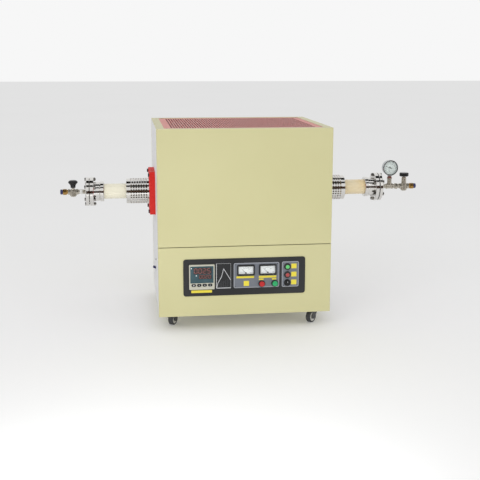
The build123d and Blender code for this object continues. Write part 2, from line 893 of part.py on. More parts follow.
def valve_stem(bonnet_top, knob_bottom, knob_height):
    """A plain spindle with a shoulder on which the knob sits."""
    stem = rod(-stem_below_axis, knob_bottom + knob_height - knob_wall_above_stem, stem_radius)
    return UP * (stem + rod(bonnet_top + nest_gap, knob_bottom - nest_gap, stem_shoulder_radius))


def knob_bore(knob_height):
    top = knob_height - knob_wall_above_stem + 2 * running_gap
    return UP * rod(-cut_past, top, stem_radius + running_gap)


def make_left_valve_knob():
    """A tulip-shaped fluted knob: a narrow skirt that flares to a rounded crown."""
    swell = left_knob_radius - left_knob_skirt_radius
    outline = [
        (share_up * left_knob_height, left_knob_skirt_radius + share_out * swell)
        for share_up, share_out in left_knob_profile
    ]
    knob = UP * turned((0, 0), *outline, (left_knob_height, 0))
    groove = Cylinder(flute_radius, 3 * left_knob_height)
    knob -= PolarLocations(left_knob_radius + flute_radius - flute_depth, left_knob_flutes) * groove
    knob -= knob_bore(left_knob_height)
    return on_axis(Pos(-left_valve_x, 0, left_knob_bottom) * knob)


def make_right_valve_handle():
    """A flat round handwheel with a grooved edge."""
    face_radius = right_handle_radius - right_handle_edge
    wheel = UP * turned(
        (0, 0),
        (0, face_radius),
        (right_handle_edge, right_handle_radius),
        (right_handle_height - right_handle_edge, right_handle_radius),
        (right_handle_height, face_radius),
        (right_handle_height, 0),
    )
    groove = Cylinder(handle_flute_radius, 3 * right_handle_height)
    groove_circle = right_handle_radius + handle_flute_radius - handle_flute_depth
    wheel -= PolarLocations(groove_circle, right_handle_flutes) * groove
    wheel -= knob_bore(right_handle_height)
    return on_axis(Pos(right_valve_x, 0, right_handle_bottom) * wheel)


def hose_fitting():
    """A push-in hose fitting along +X from its own start: threaded stub, nut, collar seat and hose bore."""
    stub = rod(-thread_engagement, fitting_stub_length, pipe_radius)
    nut = hexagon(fitting_stub_length, fitting_length, fitting_nut_flats)
    seat_floor = fitting_length - collar_seat_depth
    piece = stub + nut
    piece -= rod(seat_floor, fitting_length + cut_past, collar_sleeve_radius + running_gap)
    return piece - rod(seat_floor - hose_depth, fitting_length, hose_radius)


def make_hose_fittings():
    right = Pos(right_fitting_start, 0, 0) * hose_fitting()
    left = mirror(Pos(left_fitting_start, 0, 0) * hose_fitting(), about=Plane.YZ)
    return [on_axis(left), on_axis(right)]


def release_collar(fitting_start):
    """The ring that is pressed in to free the hose, with the sleeve that carries it."""
    nut_face = fitting_start + fitting_length
    bore = hose_radius + hose_gap
    back = nut_face + collar_clear
    mouth = nut_face + collar_length
    return turned(
        (nut_face - collar_sleeve_depth, bore),
        (nut_face - collar_sleeve_depth, collar_sleeve_radius),
        (back, collar_sleeve_radius),
        (back, collar_radius),
        (mouth - collar_edge, collar_radius),
        (mouth, collar_radius - collar_edge),
        (mouth, bore),
    )


# --- pressure gauge ---

gauge_centre = (tee_x, -gauge_depth / 2, axis_z + gauge_height)


def make_gauge_case():
    """A round cup facing the operator, with a rolled bezel and a hexagon boss below."""
    inside = gauge_radius - gauge_wall
    rim = gauge_radius + gauge_bezel
    cup = BACK * turned(
        (0, inside),
        (0, rim - gauge_edge),
        (gauge_edge, rim),
        (gauge_bezel_length, rim),
        (gauge_bezel_length, gauge_radius),
        (gauge_depth - gauge_back_edge, gauge_radius),
        (gauge_depth, gauge_radius - gauge_back_edge),
        (gauge_depth, 0),
        (gauge_dial_depth, 0),
        (gauge_dial_depth, inside),
    )
    boss_low = -gauge_radius - gauge_boss_drop
    boss = UP * hexagon(boss_low, gauge_wall - gauge_radius, gauge_boss_flats)
    boss = Pos(0, gauge_depth / 2, 0) * boss
    hole = (gauge_dial_depth - cut_past, gauge_dial_depth + pointer_pin_length)
    cup -= BACK * rod(*hole, pointer_pin_radius + running_gap)
    return Pos(*gauge_centre) * (cup + boss)


def pointer(length, tail, turn):
    """A needle about its pivot, along the given angle from +X seen from the front, with its hub and pin."""
    outline = Polyline(
        (-tail, -pointer_tail_width / 2),
        (-tail, pointer_tail_width / 2),
        (0, pointer_width / 2),
        (length, pointer_tip_width / 2),
        (length, -pointer_tip_width / 2),
        (0, -pointer_width / 2),
        close=True,
    )
    needle = Rot(0, -turn, 0) * extrude(Plane.XZ * make_face(outline), pointer_thickness)
    hub = BACK * rod(-pointer_thickness - pointer_hub_proud, 0, pointer_hub_radius)
    pin_end = pointer_lift + pointer_pin_length - pointer_pin_gap
    return needle + hub + BACK * rod(-pointer_thickness, pin_end, pointer_pin_radius)


def make_gauge_pointer():
    x, y, z = gauge_centre
    needle = pointer(gauge_pointer_length, gauge_pointer_tail, gauge_rest_angle)
    return Pos(x, y + gauge_dial_depth - pointer_lift, z) * needle


# --- control panel ---


def upright_plate(width, height, thickness, corner):
    """A rounded rectangle whose back is at y = 0 and whose face looks to the front."""
    return extrude(Plane.XZ * RectangleRounded(width, height, corner), thickness)


def make_control_fascia():
    plate = upright_plate(fascia_width, fascia_height, fascia_thickness, fascia_corner)
    plate = Pos(fascia_x, front_face, underside + fascia_z) * plate
    through = (fascia_face - cut_past, front_face + cut_past)
    half = controller_case / 2 + nest_gap
    middle = underside + controller_z
    plate -= block((controller_x - half, controller_x + half), through, (middle - half, middle + half))
    barrel = BACK * rod(*through, meter_barrel_radius + nest_gap)
    for x in meter_x:
        plate -= panel_place(x, meter_z) * barrel
    barrel = BACK * rod(*through, switch_barrel_radius + nest_gap)
    for x, z in switch_places():
        plate -= panel_place(x, z) * barrel
    return plate


def switch_places():
    """Centres of the two push buttons, the selector and the two lamps."""
    buttons = [(x, button_z) for x in button_x]
    return buttons + [(switch_x, selector_z)] + [(switch_x, z) for z in lamp_z]


controller_face = fascia_face - controller_proud
key_places = [(controller_x + key_pitch * step, controller_z - key_drop) for step in (-1.5, -0.5, 0.5, 1.5)]


def make_temperature_controller():
    bezel = upright_plate(controller_size, controller_size, controller_proud, controller_corner)
    bezel = chamfer(bezel.faces().sort_by(Axis.Y)[0].outer_wire().edges(), controller_edge)
    half = controller_case / 2
    case = block((-half, half), (0, controller_case_depth), (-half, half))
    unit = Pos(controller_x, fascia_face, underside + controller_z) * (bezel + case)
    width, height = controller_window
    frame = upright_plate(width + 2 * nest_gap, height + 2 * nest_gap, window_thickness, window_corner)
    frame_z = underside + controller_z + controller_window_z
    unit -= Pos(controller_x, controller_face + window_thickness, frame_z) * frame
    pocket_depth = key_depth - key_proud + key_travel + nest_gap
    pocket = key_plate(key_gap, pocket_depth)
    for x, z in key_places:
        unit -= Pos(x, controller_face + pocket_depth, underside + z) * pocket
    return unit


def key_plate(grown, thickness):
    """The round-ended outline of a key, grown all round, as a plate whose back is at y = 0."""
    width, height = key_size
    return extrude(Plane.XZ * SlotOverall(width + 2 * grown, height + 2 * grown), thickness)


def controller_key(x, z):
    key = key_plate(0, key_depth)
    key = chamfer(key.faces().sort_by(Axis.Y)[0].outer_wire().edges(), key_edge)
    return Pos(x, controller_face - key_proud + key_depth, underside + z) * key


meter_face = fascia_face - meter_proud
meter_pivot_z = meter_z - meter_window[1] / 2 + meter_pivot_rise


def make_panel_meters():
    """Two moving-coil meters: a rectangular head on the fascia and a round barrel behind it."""
    width, height = meter_window
    head = upright_plate(*meter_size, meter_proud, meter_corner)
    head = chamfer(head.faces().sort_by(Axis.Y)[0].outer_wire().edges(), meter_edge)
    head = Pos(0, fascia_face, underside + meter_z) * head
    recess = (meter_face - cut_past, meter_face + meter_recess)
    middle = underside + meter_z
    head -= block((-width / 2, width / 2), recess, (middle - height / 2, middle + height / 2))
    barrel = BACK * rod(fascia_face, fascia_face + meter_barrel_depth, meter_barrel_radius)
    meter = head + panel_place(0, meter_z) * barrel
    hole = (meter_face, meter_face + meter_recess + pointer_pin_length)
    meter -= panel_place(0, meter_pivot_z) * BACK * rod(*hole, pointer_pin_radius + running_gap)
    return [Pos(x, 0, 0) * meter for x in meter_x]


def meter_pointer(x):
    needle = pointer(meter_pointer_length, meter_pointer_tail, 90 + meter_zero_angle)
    return Pos(x, meter_face + meter_recess - pointer_lift, underside + meter_pivot_z) * needle


def make_instrument_windows():
    """The panes of the gauge, the two meters and the controller."""
    inside = gauge_radius - gauge_wall - nest_gap
    x, y, z = gauge_centre
    panes = [Pos(x, y, z) * BACK * rod(gauge_edge, gauge_edge + window_thickness, inside)]
    width = meter_window[0] - 2 * nest_gap
    height = meter_window[1] - 2 * nest_gap
    for x in meter_x:
        pane = upright_plate(width, height, window_thickness, meter_window_corner)
        back = meter_face + window_set_back + window_thickness
        panes.append(Pos(x, back, underside + meter_z) * pane)
    pane = upright_plate(*controller_window, window_thickness, window_corner)
    height = underside + controller_z + controller_window_z
    panes.append(Pos(controller_x, controller_face + window_thickness, height) * pane)
    return panes


def push_button(x):
    """A cap with a rounded crown, and the plunger that runs in the switch body."""
    cap = turned(
        (0, 0),
        (0, button_radius - button_edge),
        (button_edge, button_radius),
        (button_proud - button_crown, button_radius),
        (button_proud, button_radius - 2 * button_crown),
        (button_proud, 0),
    )
    plunger = rod(-button_plunger_length, 0, button_plunger_radius)
    seat = fascia_face - switch_floor - button_travel
    return Pos(x, seat, underside + button_z) * FRONT * (cap + plunger)


def switch_body(bore_radius, bore_depth):
    """A panel-mounted switch: a collar on the fascia, a well in it and a threaded barrel behind."""
    collar = turned(
        (0, 0),
        (0, switch_collar_radius),
        (switch_collar_proud - switch_collar_edge, switch_collar_radius),
        (switch_collar_proud, switch_collar_radius - switch_collar_edge),
        (switch_collar_proud, 0),
    )
    body = collar + rod(-switch_barrel_depth, 0, switch_barrel_radius)
    body -= rod(switch_floor, switch_collar_proud + cut_past, button_radius + button_gap)
    return FRONT * (body - rod(-bore_depth, switch_collar_proud, bore_radius + running_gap))


def make_switch_bodies():
    """Bodies of the two push buttons and the selector, and the case of the mains breaker."""
    depth = button_plunger_length + 2 * button_travel
    button = switch_body(button_plunger_radius, depth)
    solids = [Pos(x, fascia_face, underside + button_z) * button for x in button_x]
    selector = switch_body(selector_shaft_radius, selector_shaft_length + shaft_end_gap)
    solids.append(Pos(switch_x, fascia_face, underside + selector_z) * selector)
    return solids + [make_breaker_case()]


def make_pilot_lamps():
    """Domed lenses in a ring, with the lamp holder's barrel behind."""
    dome_radius = (lamp_radius**2 + lamp_proud**2) / (2 * lamp_proud)
    top = switch_collar_proud + lamp_proud
    crown = CenterArc((top - dome_radius, 0), dome_radius, 0, degrees(asin(lamp_radius / dome_radius)))
    ring = Polyline(
        (top, 0),
        (0, 0),
        (0, switch_collar_radius),
        (switch_collar_proud - switch_collar_edge, switch_collar_radius),
        (switch_collar_proud, switch_collar_radius - switch_collar_edge),
        (switch_collar_proud, lamp_radius),
    )
    lamp = revolve(make_face([crown, *ring.edges()]), Axis.X)
    lamp += rod(-switch_barrel_depth, 0, switch_barrel_radius)
    return [Pos(switch_x, fascia_face, underside + z) * FRONT * lamp for z in lamp_z]


def make_selector_knob():
    """A low round knob with a finger bar across it, on a short shaft."""
    middle = selector_proud / 2
    half_grip = selector_grip_width / 2
    disc = rod(selector_clear, middle, selector_radius)
    bar = block(
        (selector_clear, selector_proud),
        (-half_grip, half_grip),
        (-selector_radius, selector_radius),
    )
    bar &= rod(0, selector_proud, selector_radius)
    knob = disc + fillet(bar.edges().group_by(Axis.X)[-1], selector_edge)
    knob += rod(-selector_shaft_length, middle, selector_shaft_radius)
    return Pos(switch_x, fascia_face, underside + selector_z) * FRONT * knob


# --- mains breaker: about a pivot just inside the left wall ---

breaker_pivot = (-half_width + breaker_toggle_recess, breaker_y, underside + breaker_z)


def make_breaker_case():
    """The breaker's case against the inside of the wall, with a well for the toggle."""
    depth, width, height = breaker_case
    face = -inner_half_width
    x, y, z = breaker_pivot
    case = block((face, face + depth), (y - width / 2, y + width / 2), (z - height / 2, z + height / 2))
    half = breaker_toggle_width / 2 + nest_gap
    case -= Pos(x, y, z) * BACK * rod(-half, half, breaker_toggle_radius + nest_gap)
    bore = BACK * rod(-breaker_toggle_width, breaker_toggle_width, breaker_pin_radius + running_gap)
    return case - Pos(x, y, z) * bore


def make_breaker_toggle():
    """A drum segment with a lever, turning on its own pin."""
    half = breaker_toggle_width / 2
    drum = BACK * rod(-half, half, breaker_toggle_radius)
    drum &= block(
        (-breaker_toggle_recess - breaker_drum_proud, breaker_toggle_radius),
        (-half, half),
        (-breaker_toggle_radius, breaker_toggle_radius),
    )
    reach, width, thickness = breaker_lever
    lever = block(
        (-breaker_toggle_recess - reach, 0),
        (-width / 2, width / 2),
        (-thickness / 2, thickness / 2),
    )
    lever = fillet(lever.edges().group_by(Axis.X)[0], breaker_lever_edge)
    lever = Rot(0, breaker_throw / 2, 0) * lever
    pin = BACK * rod(-half - breaker_pin_end, half + breaker_pin_end, breaker_pin_radius)
    return Pos(*breaker_pivot) * (drum + lever + pin)


# --- fan ---

fan_face = half_depth - sheet
fan_centre = (fan_x, fan_face - fan_depth / 2, underside + fan_z)


def make_fan_frame():
    """A square frame behind the rear panel, with a hub and shaft carried on three struts."""
    half = fan_size / 2
    frame = Box(fan_size, fan_depth, fan_size)
    frame = fillet(frame.edges().filter_by(Axis.Y), fan_corner)
    frame -= BACK * rod(-fan_depth, fan_depth, fan_bore_radius)
    hole = BACK * rod(-fan_depth, fan_depth, fan_screw_radius)
    for x, z in corner_places(fan_screw_spacing):
        frame -= Pos(x, 0, z) * hole
    inner = -fan_depth / 2
    hub_face = inner + fan_strut_depth
    half_strut = fan_strut_width / 2
    strut = block((0, fan_bore_radius + fan_strut_root), (inner, hub_face), (-half_strut, half_strut))
    for index in range(fan_struts):
        frame += Rot(0, 90 + 360 * index / fan_struts, 0) * strut
    frame += BACK * rod(inner, hub_face, fan_hub_radius)
    shaft_end = hub_face + fan_hub_depth - fan_hub_wall - shaft_end_gap
    frame += BACK * rod(inner, shaft_end, fan_shaft_radius)
    return Pos(*fan_centre) * frame


def make_fan_rotor():
    """A hub with pitched blades."""
    start = -fan_depth / 2 + fan_strut_depth + nest_gap
    hub = BACK * rod(start, start + fan_hub_depth, fan_hub_radius)
    tip = fan_bore_radius - fan_tip_gap
    middle = start + fan_hub_depth / 2
    chord = fan_hub_depth / cos(radians(fan_blade_pitch)) * fan_blade_reach
    blade = Box(tip, fan_blade_thickness, chord, align=(Align.MIN, Align.CENTER, Align.CENTER))
    blade = Pos(0, middle, 0) * Rot(90 - fan_blade_pitch, 0, 0) * blade
    end = start + fan_hub_depth
    swept = rod(start, end, tip) - rod(start - cut_past, end + cut_past, fan_hub_radius - fan_blade_root)
    blade &= BACK * swept
    rotor = hub + [Rot(0, 360 * index / fan_blades, 0) * blade for index in range(fan_blades)]
    rotor -= BACK * rod(start - cut_past, end - fan_hub_wall, fan_shaft_radius + running_gap)
    return Pos(*fan_centre) * rotor


# --- cable gland ---


def make_cable_gland():
    """A cable gland: inner nut, thread through the wall, outer hexagon and clamping dome, bored through."""
    wall_inner = -sheet
    mouth = gland_nut_length + gland_dome_length
    gland = hexagon(0, gland_nut_length, gland_flats)
    gland += turned(
        (gland_nut_length, 0),
        (gland_nut_length, gland_dome_radius),
        (gland_nut_length + gland_dome_straight, gland_dome_radius),
        (mouth, gland_bore_radius + gland_mouth_wall),
        (mouth, 0),
    )
    thread_end = wall_inner - gland_inner_length
    gland += rod(thread_end, 0, gland_thread_radius - running_gap)
    gland += hexagon(wall_inner - gland_inner_nut, wall_inner, gland_flats)
    gland -= rod(thread_end - cut_past, mouth + cut_past, gland_bore_radius)
    return Pos(gland_x, half_depth, underside + gland_z) * BACK * gland


# --- casters ---

caster_points = {}
for caster_name, (side_x, side_y, trail_angle) in caster_places.items():
    king_pin_place = (side_x * (half_width - caster_inset_side), side_y * (half_depth - caster_inset_end))
    caster_points[caster_name] = (king_pin_place, trail_angle)

fork_crown_bottom = 2 * wheel_radius + fork_clear
caster_plate_bottom = underside - caster_plate_thickness


def make_fork():
    """A caster fork about its king pin at floor level, trailing along +X, with the riveted axle."""
    crown_top = fork_crown_bottom + fork_crown_thickness
    fork = Pos(0, 0, fork_crown_bottom) * Cylinder(fork_crown_radius, fork_crown_thickness, align=LOW)
    race_height = caster_plate_bottom - race_gap - crown_top
    fork += Pos(0, 0, crown_top) * Cylinder(race_radius, race_height, align=LOW)
    side = make_face(
        Polyline(
            (-fork_crown_radius + fork_leg_inset, fork_crown_bottom),
            (-fork_crown_radius + fork_leg_inset, crown_top),
            (fork_crown_radius, crown_top),
            (fork_crown_radius + fork_leg_flare, fork_crown_bottom),
            (caster_trail + fork_foot_radius, wheel_radius),
            (caster_trail, wheel_radius - fork_foot_radius),
            (caster_trail - fork_foot_radius, wheel_radius),
            close=True,
        )
    )
    side += Pos(caster_trail, wheel_radius) * Circle(fork_foot_radius)
    outer = fork_gap / 2 + fork_leg
    legs = extrude(Plane.XZ * side, outer, both=True)
    legs -= block(
        (-fork_crown_radius, caster_trail + fork_foot_radius + cut_past),
        (-fork_gap / 2, fork_gap / 2),
        (0, fork_crown_bottom),
    )
    fork += legs
    axle = BACK * rod(-outer - axle_end, outer + axle_end, axle_radius)
    fork += Pos(caster_trail, 0, wheel_radius) * axle
    pin_top = base_top + nest_gap
    fork += Pos(0, 0, crown_top) * Cylinder(king_pin_radius, pin_top - crown_top, align=LOW)
    fork += Pos(0, 0, pin_top) * Cylinder(king_pin_head_radius, king_pin_head, align=LOW)
    return fork


def make_wheel():
    """A rubber-tyred wheel on the fork's axle: tread, web and hub."""
    half = wheel_width / 2
    hub = wheel_hub_width / 2
    web = wheel_web / 2
    bore = axle_radius + running_gap
    rim_inside = wheel_radius - wheel_rim_wall
    wheel = BACK * turned(
        (-hub, bore),
        (-hub, wheel_hub_radius),
        (-web, wheel_hub_radius),
        (-web, rim_inside),
        (-half, rim_inside),
        (-half, wheel_radius - wheel_edge),
        (-half + wheel_edge, wheel_radius),
        (half - wheel_edge, wheel_radius),
        (half, wheel_radius - wheel_edge),
        (half, rim_inside),
        (web, rim_inside),
        (web, wheel_hub_radius),
        (hub, wheel_hub_radius),
        (hub, bore),
    )
    return Pos(caster_trail, 0, wheel_radius) * wheel


def placed_caster(piece, king_pin, angle):
    return Pos(*king_pin, 0) * Rot(0, 0, angle) * piece


# --- the nodes ---

nodes = {
    "base_pan": make_base_pan(),
    "deck": make_deck(),
    "lower_front_panel": make_lower_front_panel(),
    "upper_front_panel": make_upper_front_panel(),
    "left_side_panel": make_left_side_panel(),
    "right_side_panel": make_side_panel(),
    "rear_panel": make_rear_panel(),
    "top_frame": make_top_frame(),
    "top_grille": make_top_grille(),
    "chamber_lower": make_chamber_lower(),
    "chamber_upper": make_chamber_upper(),
    "heating_elements": make_heating_elements(),
    "thermocouple": make_thermocouple(),
    "process_tube": make_process_tube(),
    "tube_plugs": make_tube_plugs(),
    "tube_plates": make_tube_plates(),
    "plate_bolts": make_plate_bolts(),
    "tube_guards": make_tube_guards(),
    "flange_sleeves": make_flange_sleeves(),
    "end_covers": make_end_covers(),
    "flange_bolts": make_flange_bolts(),
    "flange_seals": make_flange_seals(),
    "pipe_fittings": make_pipe_fittings(),
    "valve_bodies": make_valve_bodies(),
    "left_valve_stem": on_axis(
        Pos(-left_valve_x, 0, 0) * valve_stem(left_bonnet_top, left_knob_bottom, left_knob_height)
    ),
    "left_valve_knob": make_left_valve_knob(),
    "right_valve_stem": on_axis(
        Pos(right_valve_x, 0, 0) * valve_stem(right_bonnet_top, right_handle_bottom, right_handle_height)
    ),
    "right_valve_handle": make_right_valve_handle(),
    "hose_fittings": make_hose_fittings(),
    "left_release_collar": on_axis(mirror(release_collar(left_fitting_start), about=Plane.YZ)),
    "right_release_collar": on_axis(release_collar(right_fitting_start)),
    "gauge_case": make_gauge_case(),
    "gauge_pointer": make_gauge_pointer(),
    "instrument_windows": make_instrument_windows(),
    "control_fascia": make_control_fascia(),
    "temperature_controller": make_temperature_controller(),
    "panel_meters": make_panel_meters(),
    "voltmeter_pointer": meter_pointer(meter_x[0]),
    "ammeter_pointer": meter_pointer(meter_x[1]),
    "stop_button": push_button(button_x[0]),
    "start_button": push_button(button_x[1]),
    "switch_bodies": make_switch_bodies(),
    "pilot_lamps": make_pilot_lamps(),
    "selector_knob": make_selector_knob(),
    "breaker_toggle": make_breaker_toggle(),
    "fan_frame": make_fan_frame(),
    "fan_rotor": make_fan_rotor(),
    "cable_gland": make_cable_gland(),
}
for key_name, (key_x, key_z) in zip(("set", "shift", "down", "up"), key_places):
    nodes["controller_key_" + key_name] = controller_key(key_x, key_z)
for caster_name, (king_pin_place, trail_angle) in caster_points.items():
    nodes[caster_name + "_fork"] = placed_caster(make_fork(), king_pin_place, trail_angle)
    nodes[caster_name + "_wheel"] = placed_caster(make_wheel(), king_pin_place, trail_angle)

for name, shape in nodes.items():
    if isinstance(shape, list):
        nodes[name] = Compound([solid for piece in shape for solid in piece.solids()])

footprint = Compound([solid for shape in nodes.values() for solid in shape.solids()]).bounding_box()
origin = Pos(-footprint.center().X, -footprint.center().Y, -footprint.min.Z)

os.makedirs("parts", exist_ok=True)
for name, shape in nodes.items():
    export_step(origin * shape, f"parts/{name}.step")
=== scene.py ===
import json
import math

import bmesh
import bpy
from bpy.props import FloatProperty, FloatVectorProperty, IntProperty, PointerProperty
from mathutils import Matrix, Vector


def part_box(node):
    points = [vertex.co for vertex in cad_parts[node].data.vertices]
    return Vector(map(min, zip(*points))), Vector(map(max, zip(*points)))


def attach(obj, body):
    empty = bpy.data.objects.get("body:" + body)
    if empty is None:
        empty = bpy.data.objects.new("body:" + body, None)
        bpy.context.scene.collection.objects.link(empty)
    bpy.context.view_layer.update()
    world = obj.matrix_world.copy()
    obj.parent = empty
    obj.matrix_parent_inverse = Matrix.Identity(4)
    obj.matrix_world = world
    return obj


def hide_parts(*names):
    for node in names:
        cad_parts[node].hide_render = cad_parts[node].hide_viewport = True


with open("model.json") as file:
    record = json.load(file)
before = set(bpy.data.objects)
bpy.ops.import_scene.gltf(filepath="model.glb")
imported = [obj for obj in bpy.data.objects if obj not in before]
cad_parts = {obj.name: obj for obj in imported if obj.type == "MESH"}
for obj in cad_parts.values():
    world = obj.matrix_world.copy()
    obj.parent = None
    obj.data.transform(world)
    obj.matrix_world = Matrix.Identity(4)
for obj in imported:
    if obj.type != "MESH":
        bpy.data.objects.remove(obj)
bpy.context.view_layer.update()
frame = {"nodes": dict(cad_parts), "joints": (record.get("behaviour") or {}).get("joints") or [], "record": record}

bl_info = {
    "name": "Tube Furnace",
    "version": (1, 0, 0),
    "blender": (4, 5, 0),
    "location": "View3D > Sidebar > Furnace",
    "description": "Dresses the packed tube furnace with its finishes and fine pieces",
    "category": "Add Mesh",
}

MM = 0.001
ROOT = "furnace"

# --- places taken from the frame, in metres ---
TOP_LOW, TOP_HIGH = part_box("top_frame")
VENT_LOW, VENT_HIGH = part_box("top_grille")
GUARDS_LOW, GUARDS_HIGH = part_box("tube_guards")
PLATES_LOW, PLATES_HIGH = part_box("tube_plates")
COVERS_LOW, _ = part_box("end_covers")
REAR_LOW, REAR_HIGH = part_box("rear_panel")
LEFT_WALL_LOW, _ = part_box("left_side_panel")
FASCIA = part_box("control_fascia")[0].y
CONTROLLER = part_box("temperature_controller")[0].y
METER_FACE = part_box("panel_meters")[0].y
GAUGE_LOW, GAUGE_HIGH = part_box("gauge_case")
CENTRE_X = (TOP_LOW.x + TOP_HIGH.x) / 2
CENTRE_Y = (TOP_LOW.y + TOP_HIGH.y) / 2
CABINET_HEIGHT = 710 * MM
UNDERSIDE = TOP_HIGH.z - CABINET_HEIGHT
TUBE = (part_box("process_tube")[0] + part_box("process_tube")[1]) / 2
JOINTS = {joint["name"]: joint for joint in frame["joints"]}
WHEELS = ("front_left", "front_right", "rear_left", "rear_right")


def linear(code):
    """The linear colour of a six-digit sRGB code."""
    parts = [int(code[place : place + 2], 16) / 255 for place in (0, 2, 4)]
    return [part / 12.92 if part <= 0.04045 else ((part + 0.055) / 1.055) ** 2.4 for part in parts]


def colour_property(name, code, description):
    return FloatVectorProperty(
        name=name, description=description, subtype="COLOR", min=0, max=1, size=3, default=linear(code)
    )


def size_property(name, millimetres, description):
    return FloatProperty(
        name=name, description=description, unit="LENGTH", subtype="DISTANCE", default=millimetres * MM, min=0
    )


def power_property(name, watts, description):
    return FloatProperty(name=name, description=description, unit="POWER", default=watts, min=0)


class FurnaceSettings(bpy.types.PropertyGroup):
    """Sizes and colours of the furnace's finishes and fine pieces."""

    cabinet_colour: colour_property("Cabinet", "d5d09d", "Enamel of the front and the top")
    side_colour: colour_property("Sides", "e9e9ea", "Enamel of the side and rear panels")
    plate_colour: colour_property("Tube plates", "e01400", "Enamel of the square tube plates")
    vent_colour: colour_property("Vent", "e27c74", "Enamel of the perforated vent")
    fascia_colour: colour_property("Fascia", "1b1c1f", "Paint of the control panel")
    inlay_colour: colour_property("Inlays", "70757f", "Grey plates of the control panel")
    border_colour: colour_property("Borders", "a6a9b2", "Borders of the grey plates")
    label_colour: colour_property("Labels", "f0de3a", "Blank label plates")
    tube_colour: colour_property("Work tube", "fffae2", "Alumina")
    vent_pitch: size_property("Vent pitch", 10, "Distance between the holes of the vent")
    vent_hole: size_property("Vent hole", 3.55, "Radius of a hole of the vent")
    vent_border: size_property("Vent border", 20, "Least unpunched border of the vent")
    guard_hole: size_property("Guard hole", 3.4, "Radius of a hole of the tube guards")
    guard_holes: IntProperty(name="Guard holes", description="Holes round a guard", default=31, min=8)
    guard_rows: IntProperty(name="Guard rows", description="Rings of holes along a guard", default=7, min=1)
    key_power: power_property("Key lamp", 24, "Power of the lamp at the upper left")
    fill_power: power_property("Fill lamp", 10, "Power of the lamp on the right")
    low_power: power_property("Low lamp", 7, "Power of the lamp near the floor")
    sky_light: FloatProperty(name="Sky", description="Strength of the light from all round", default=0.72)


def settings():
    return bpy.context.scene.furnace


# --- nodes ---


def node(tree, kind, inputs=(), **options):
    """A new node. Each input is a value, or the output of another node that is linked to it."""
    made = tree.nodes.new(kind)
    for name, value in options.items():
        setattr(made, name, value)
    for place, value in dict(inputs).items():
        if isinstance(value, bpy.types.NodeSocket):
            tree.links.new(value, made.inputs[place])
        else:
            made.inputs[place].default_value = value
    return made


def new_group(name, inputs, outputs):
    """A shader node group with named sockets: its tree, its inputs and its outputs."""
    tree = bpy.data.node_groups.new(name, "ShaderNodeTree")
    for label, kind, value in inputs:
        socket = tree.interface.new_socket(label, in_out="INPUT", socket_type=kind)
        socket.default_value = value
    for label, kind in outputs:
        tree.interface.new_socket(label, in_out="OUTPUT", socket_type=kind)
    return tree, tree.nodes.new("NodeGroupInput").outputs, tree.nodes.new("NodeGroupOutput").inputs


def object_place(tree):
    return tree.nodes.new("ShaderNodeTexCoord").outputs["Object"]


def component(tree, vector, axis):
    return node(tree, "ShaderNodeSeparateXYZ", {0: vector}).outputs[axis]


def math_node(tree, operation, first, second=0.0, clamp=False):
    made = node(tree, "ShaderNodeMath", {0: first, 1: second}, operation=operation, use_clamp=clamp)
    return made.outputs[0]


def mix_colour(tree, share, first, second):
    made = node(tree, "ShaderNodeMix", {"Factor": share}, data_type="RGBA")
    for place, value in ((6, first), (7, second)):
        if isinstance(value, bpy.types.NodeSocket):
            tree.links.new(value, made.inputs[place])
        else:
            made.inputs[place].default_value = (*value, 1)[:4]
    return made.outputs[2]


VALUE, VECTOR = "NodeSocketFloat", "NodeSocketVector"


def make_grain_group():
    """Broad tone and fine grain: paint, moulded plastic, rubber and ceramic use it at their own scales."""
    tree, given, out = new_group(
        "Surface Grain",
        [("Tone Scale", VALUE, 4), ("Grain Scale", VALUE, 700), ("Bump", VALUE, 0.1)],
        [("Tone", VALUE), ("Grain", VALUE), ("Normal", VECTOR)],
    )
    place = object_place(tree)
    broad = node(tree, "ShaderNodeTexNoise", {"Vector": place, "Scale": given["Tone Scale"], "Detail": 4})
    fine = node(tree, "ShaderNodeTexNoise", {"Vector": place, "Scale": given["Grain Scale"], "Detail": 2})
    relief = {"Height": fine.outputs["Fac"], "Strength": given["Bump"], "Distance": 0.4 * MM}
    bump = node(tree, "ShaderNodeBump", relief)
    tree.links.new(broad.outputs["Fac"], out["Tone"])
    tree.links.new(fine.outputs["Fac"], out["Grain"])
    tree.links.new(bump.outputs["Normal"], out["Normal"])
    return tree


def make_wear_group():
    """A mask along the edges, broken up as wear is."""
    inputs = [("Width", VALUE, 0.001), ("Amount", VALUE, 0.5)]
    tree, given, out = new_group("Edge Wear", inputs, [("Mask", VALUE)])
    rounded = node(tree, "ShaderNodeBevel", {"Radius": given["Width"]}, samples=4)
    true_normal = tree.nodes.new("ShaderNodeNewGeometry").outputs["Normal"]
    normals = {0: rounded.outputs["Normal"], 1: true_normal}
    facing = node(tree, "ShaderNodeVectorMath", normals, operation="DOT_PRODUCT")
    turned = math_node(tree, "SUBTRACT", 1.0, facing.outputs["Value"], clamp=True)
    strong = math_node(tree, "MULTIPLY", turned, 5.0, clamp=True)
    patches = node(tree, "ShaderNodeTexNoise", {"Vector": object_place(tree), "Scale": 60, "Detail": 5})
    broken = math_node(tree, "MULTIPLY", strong, patches.outputs["Fac"])
    tree.links.new(math_node(tree, "MULTIPLY", broken, given["Amount"], clamp=True), out["Mask"])
    return tree


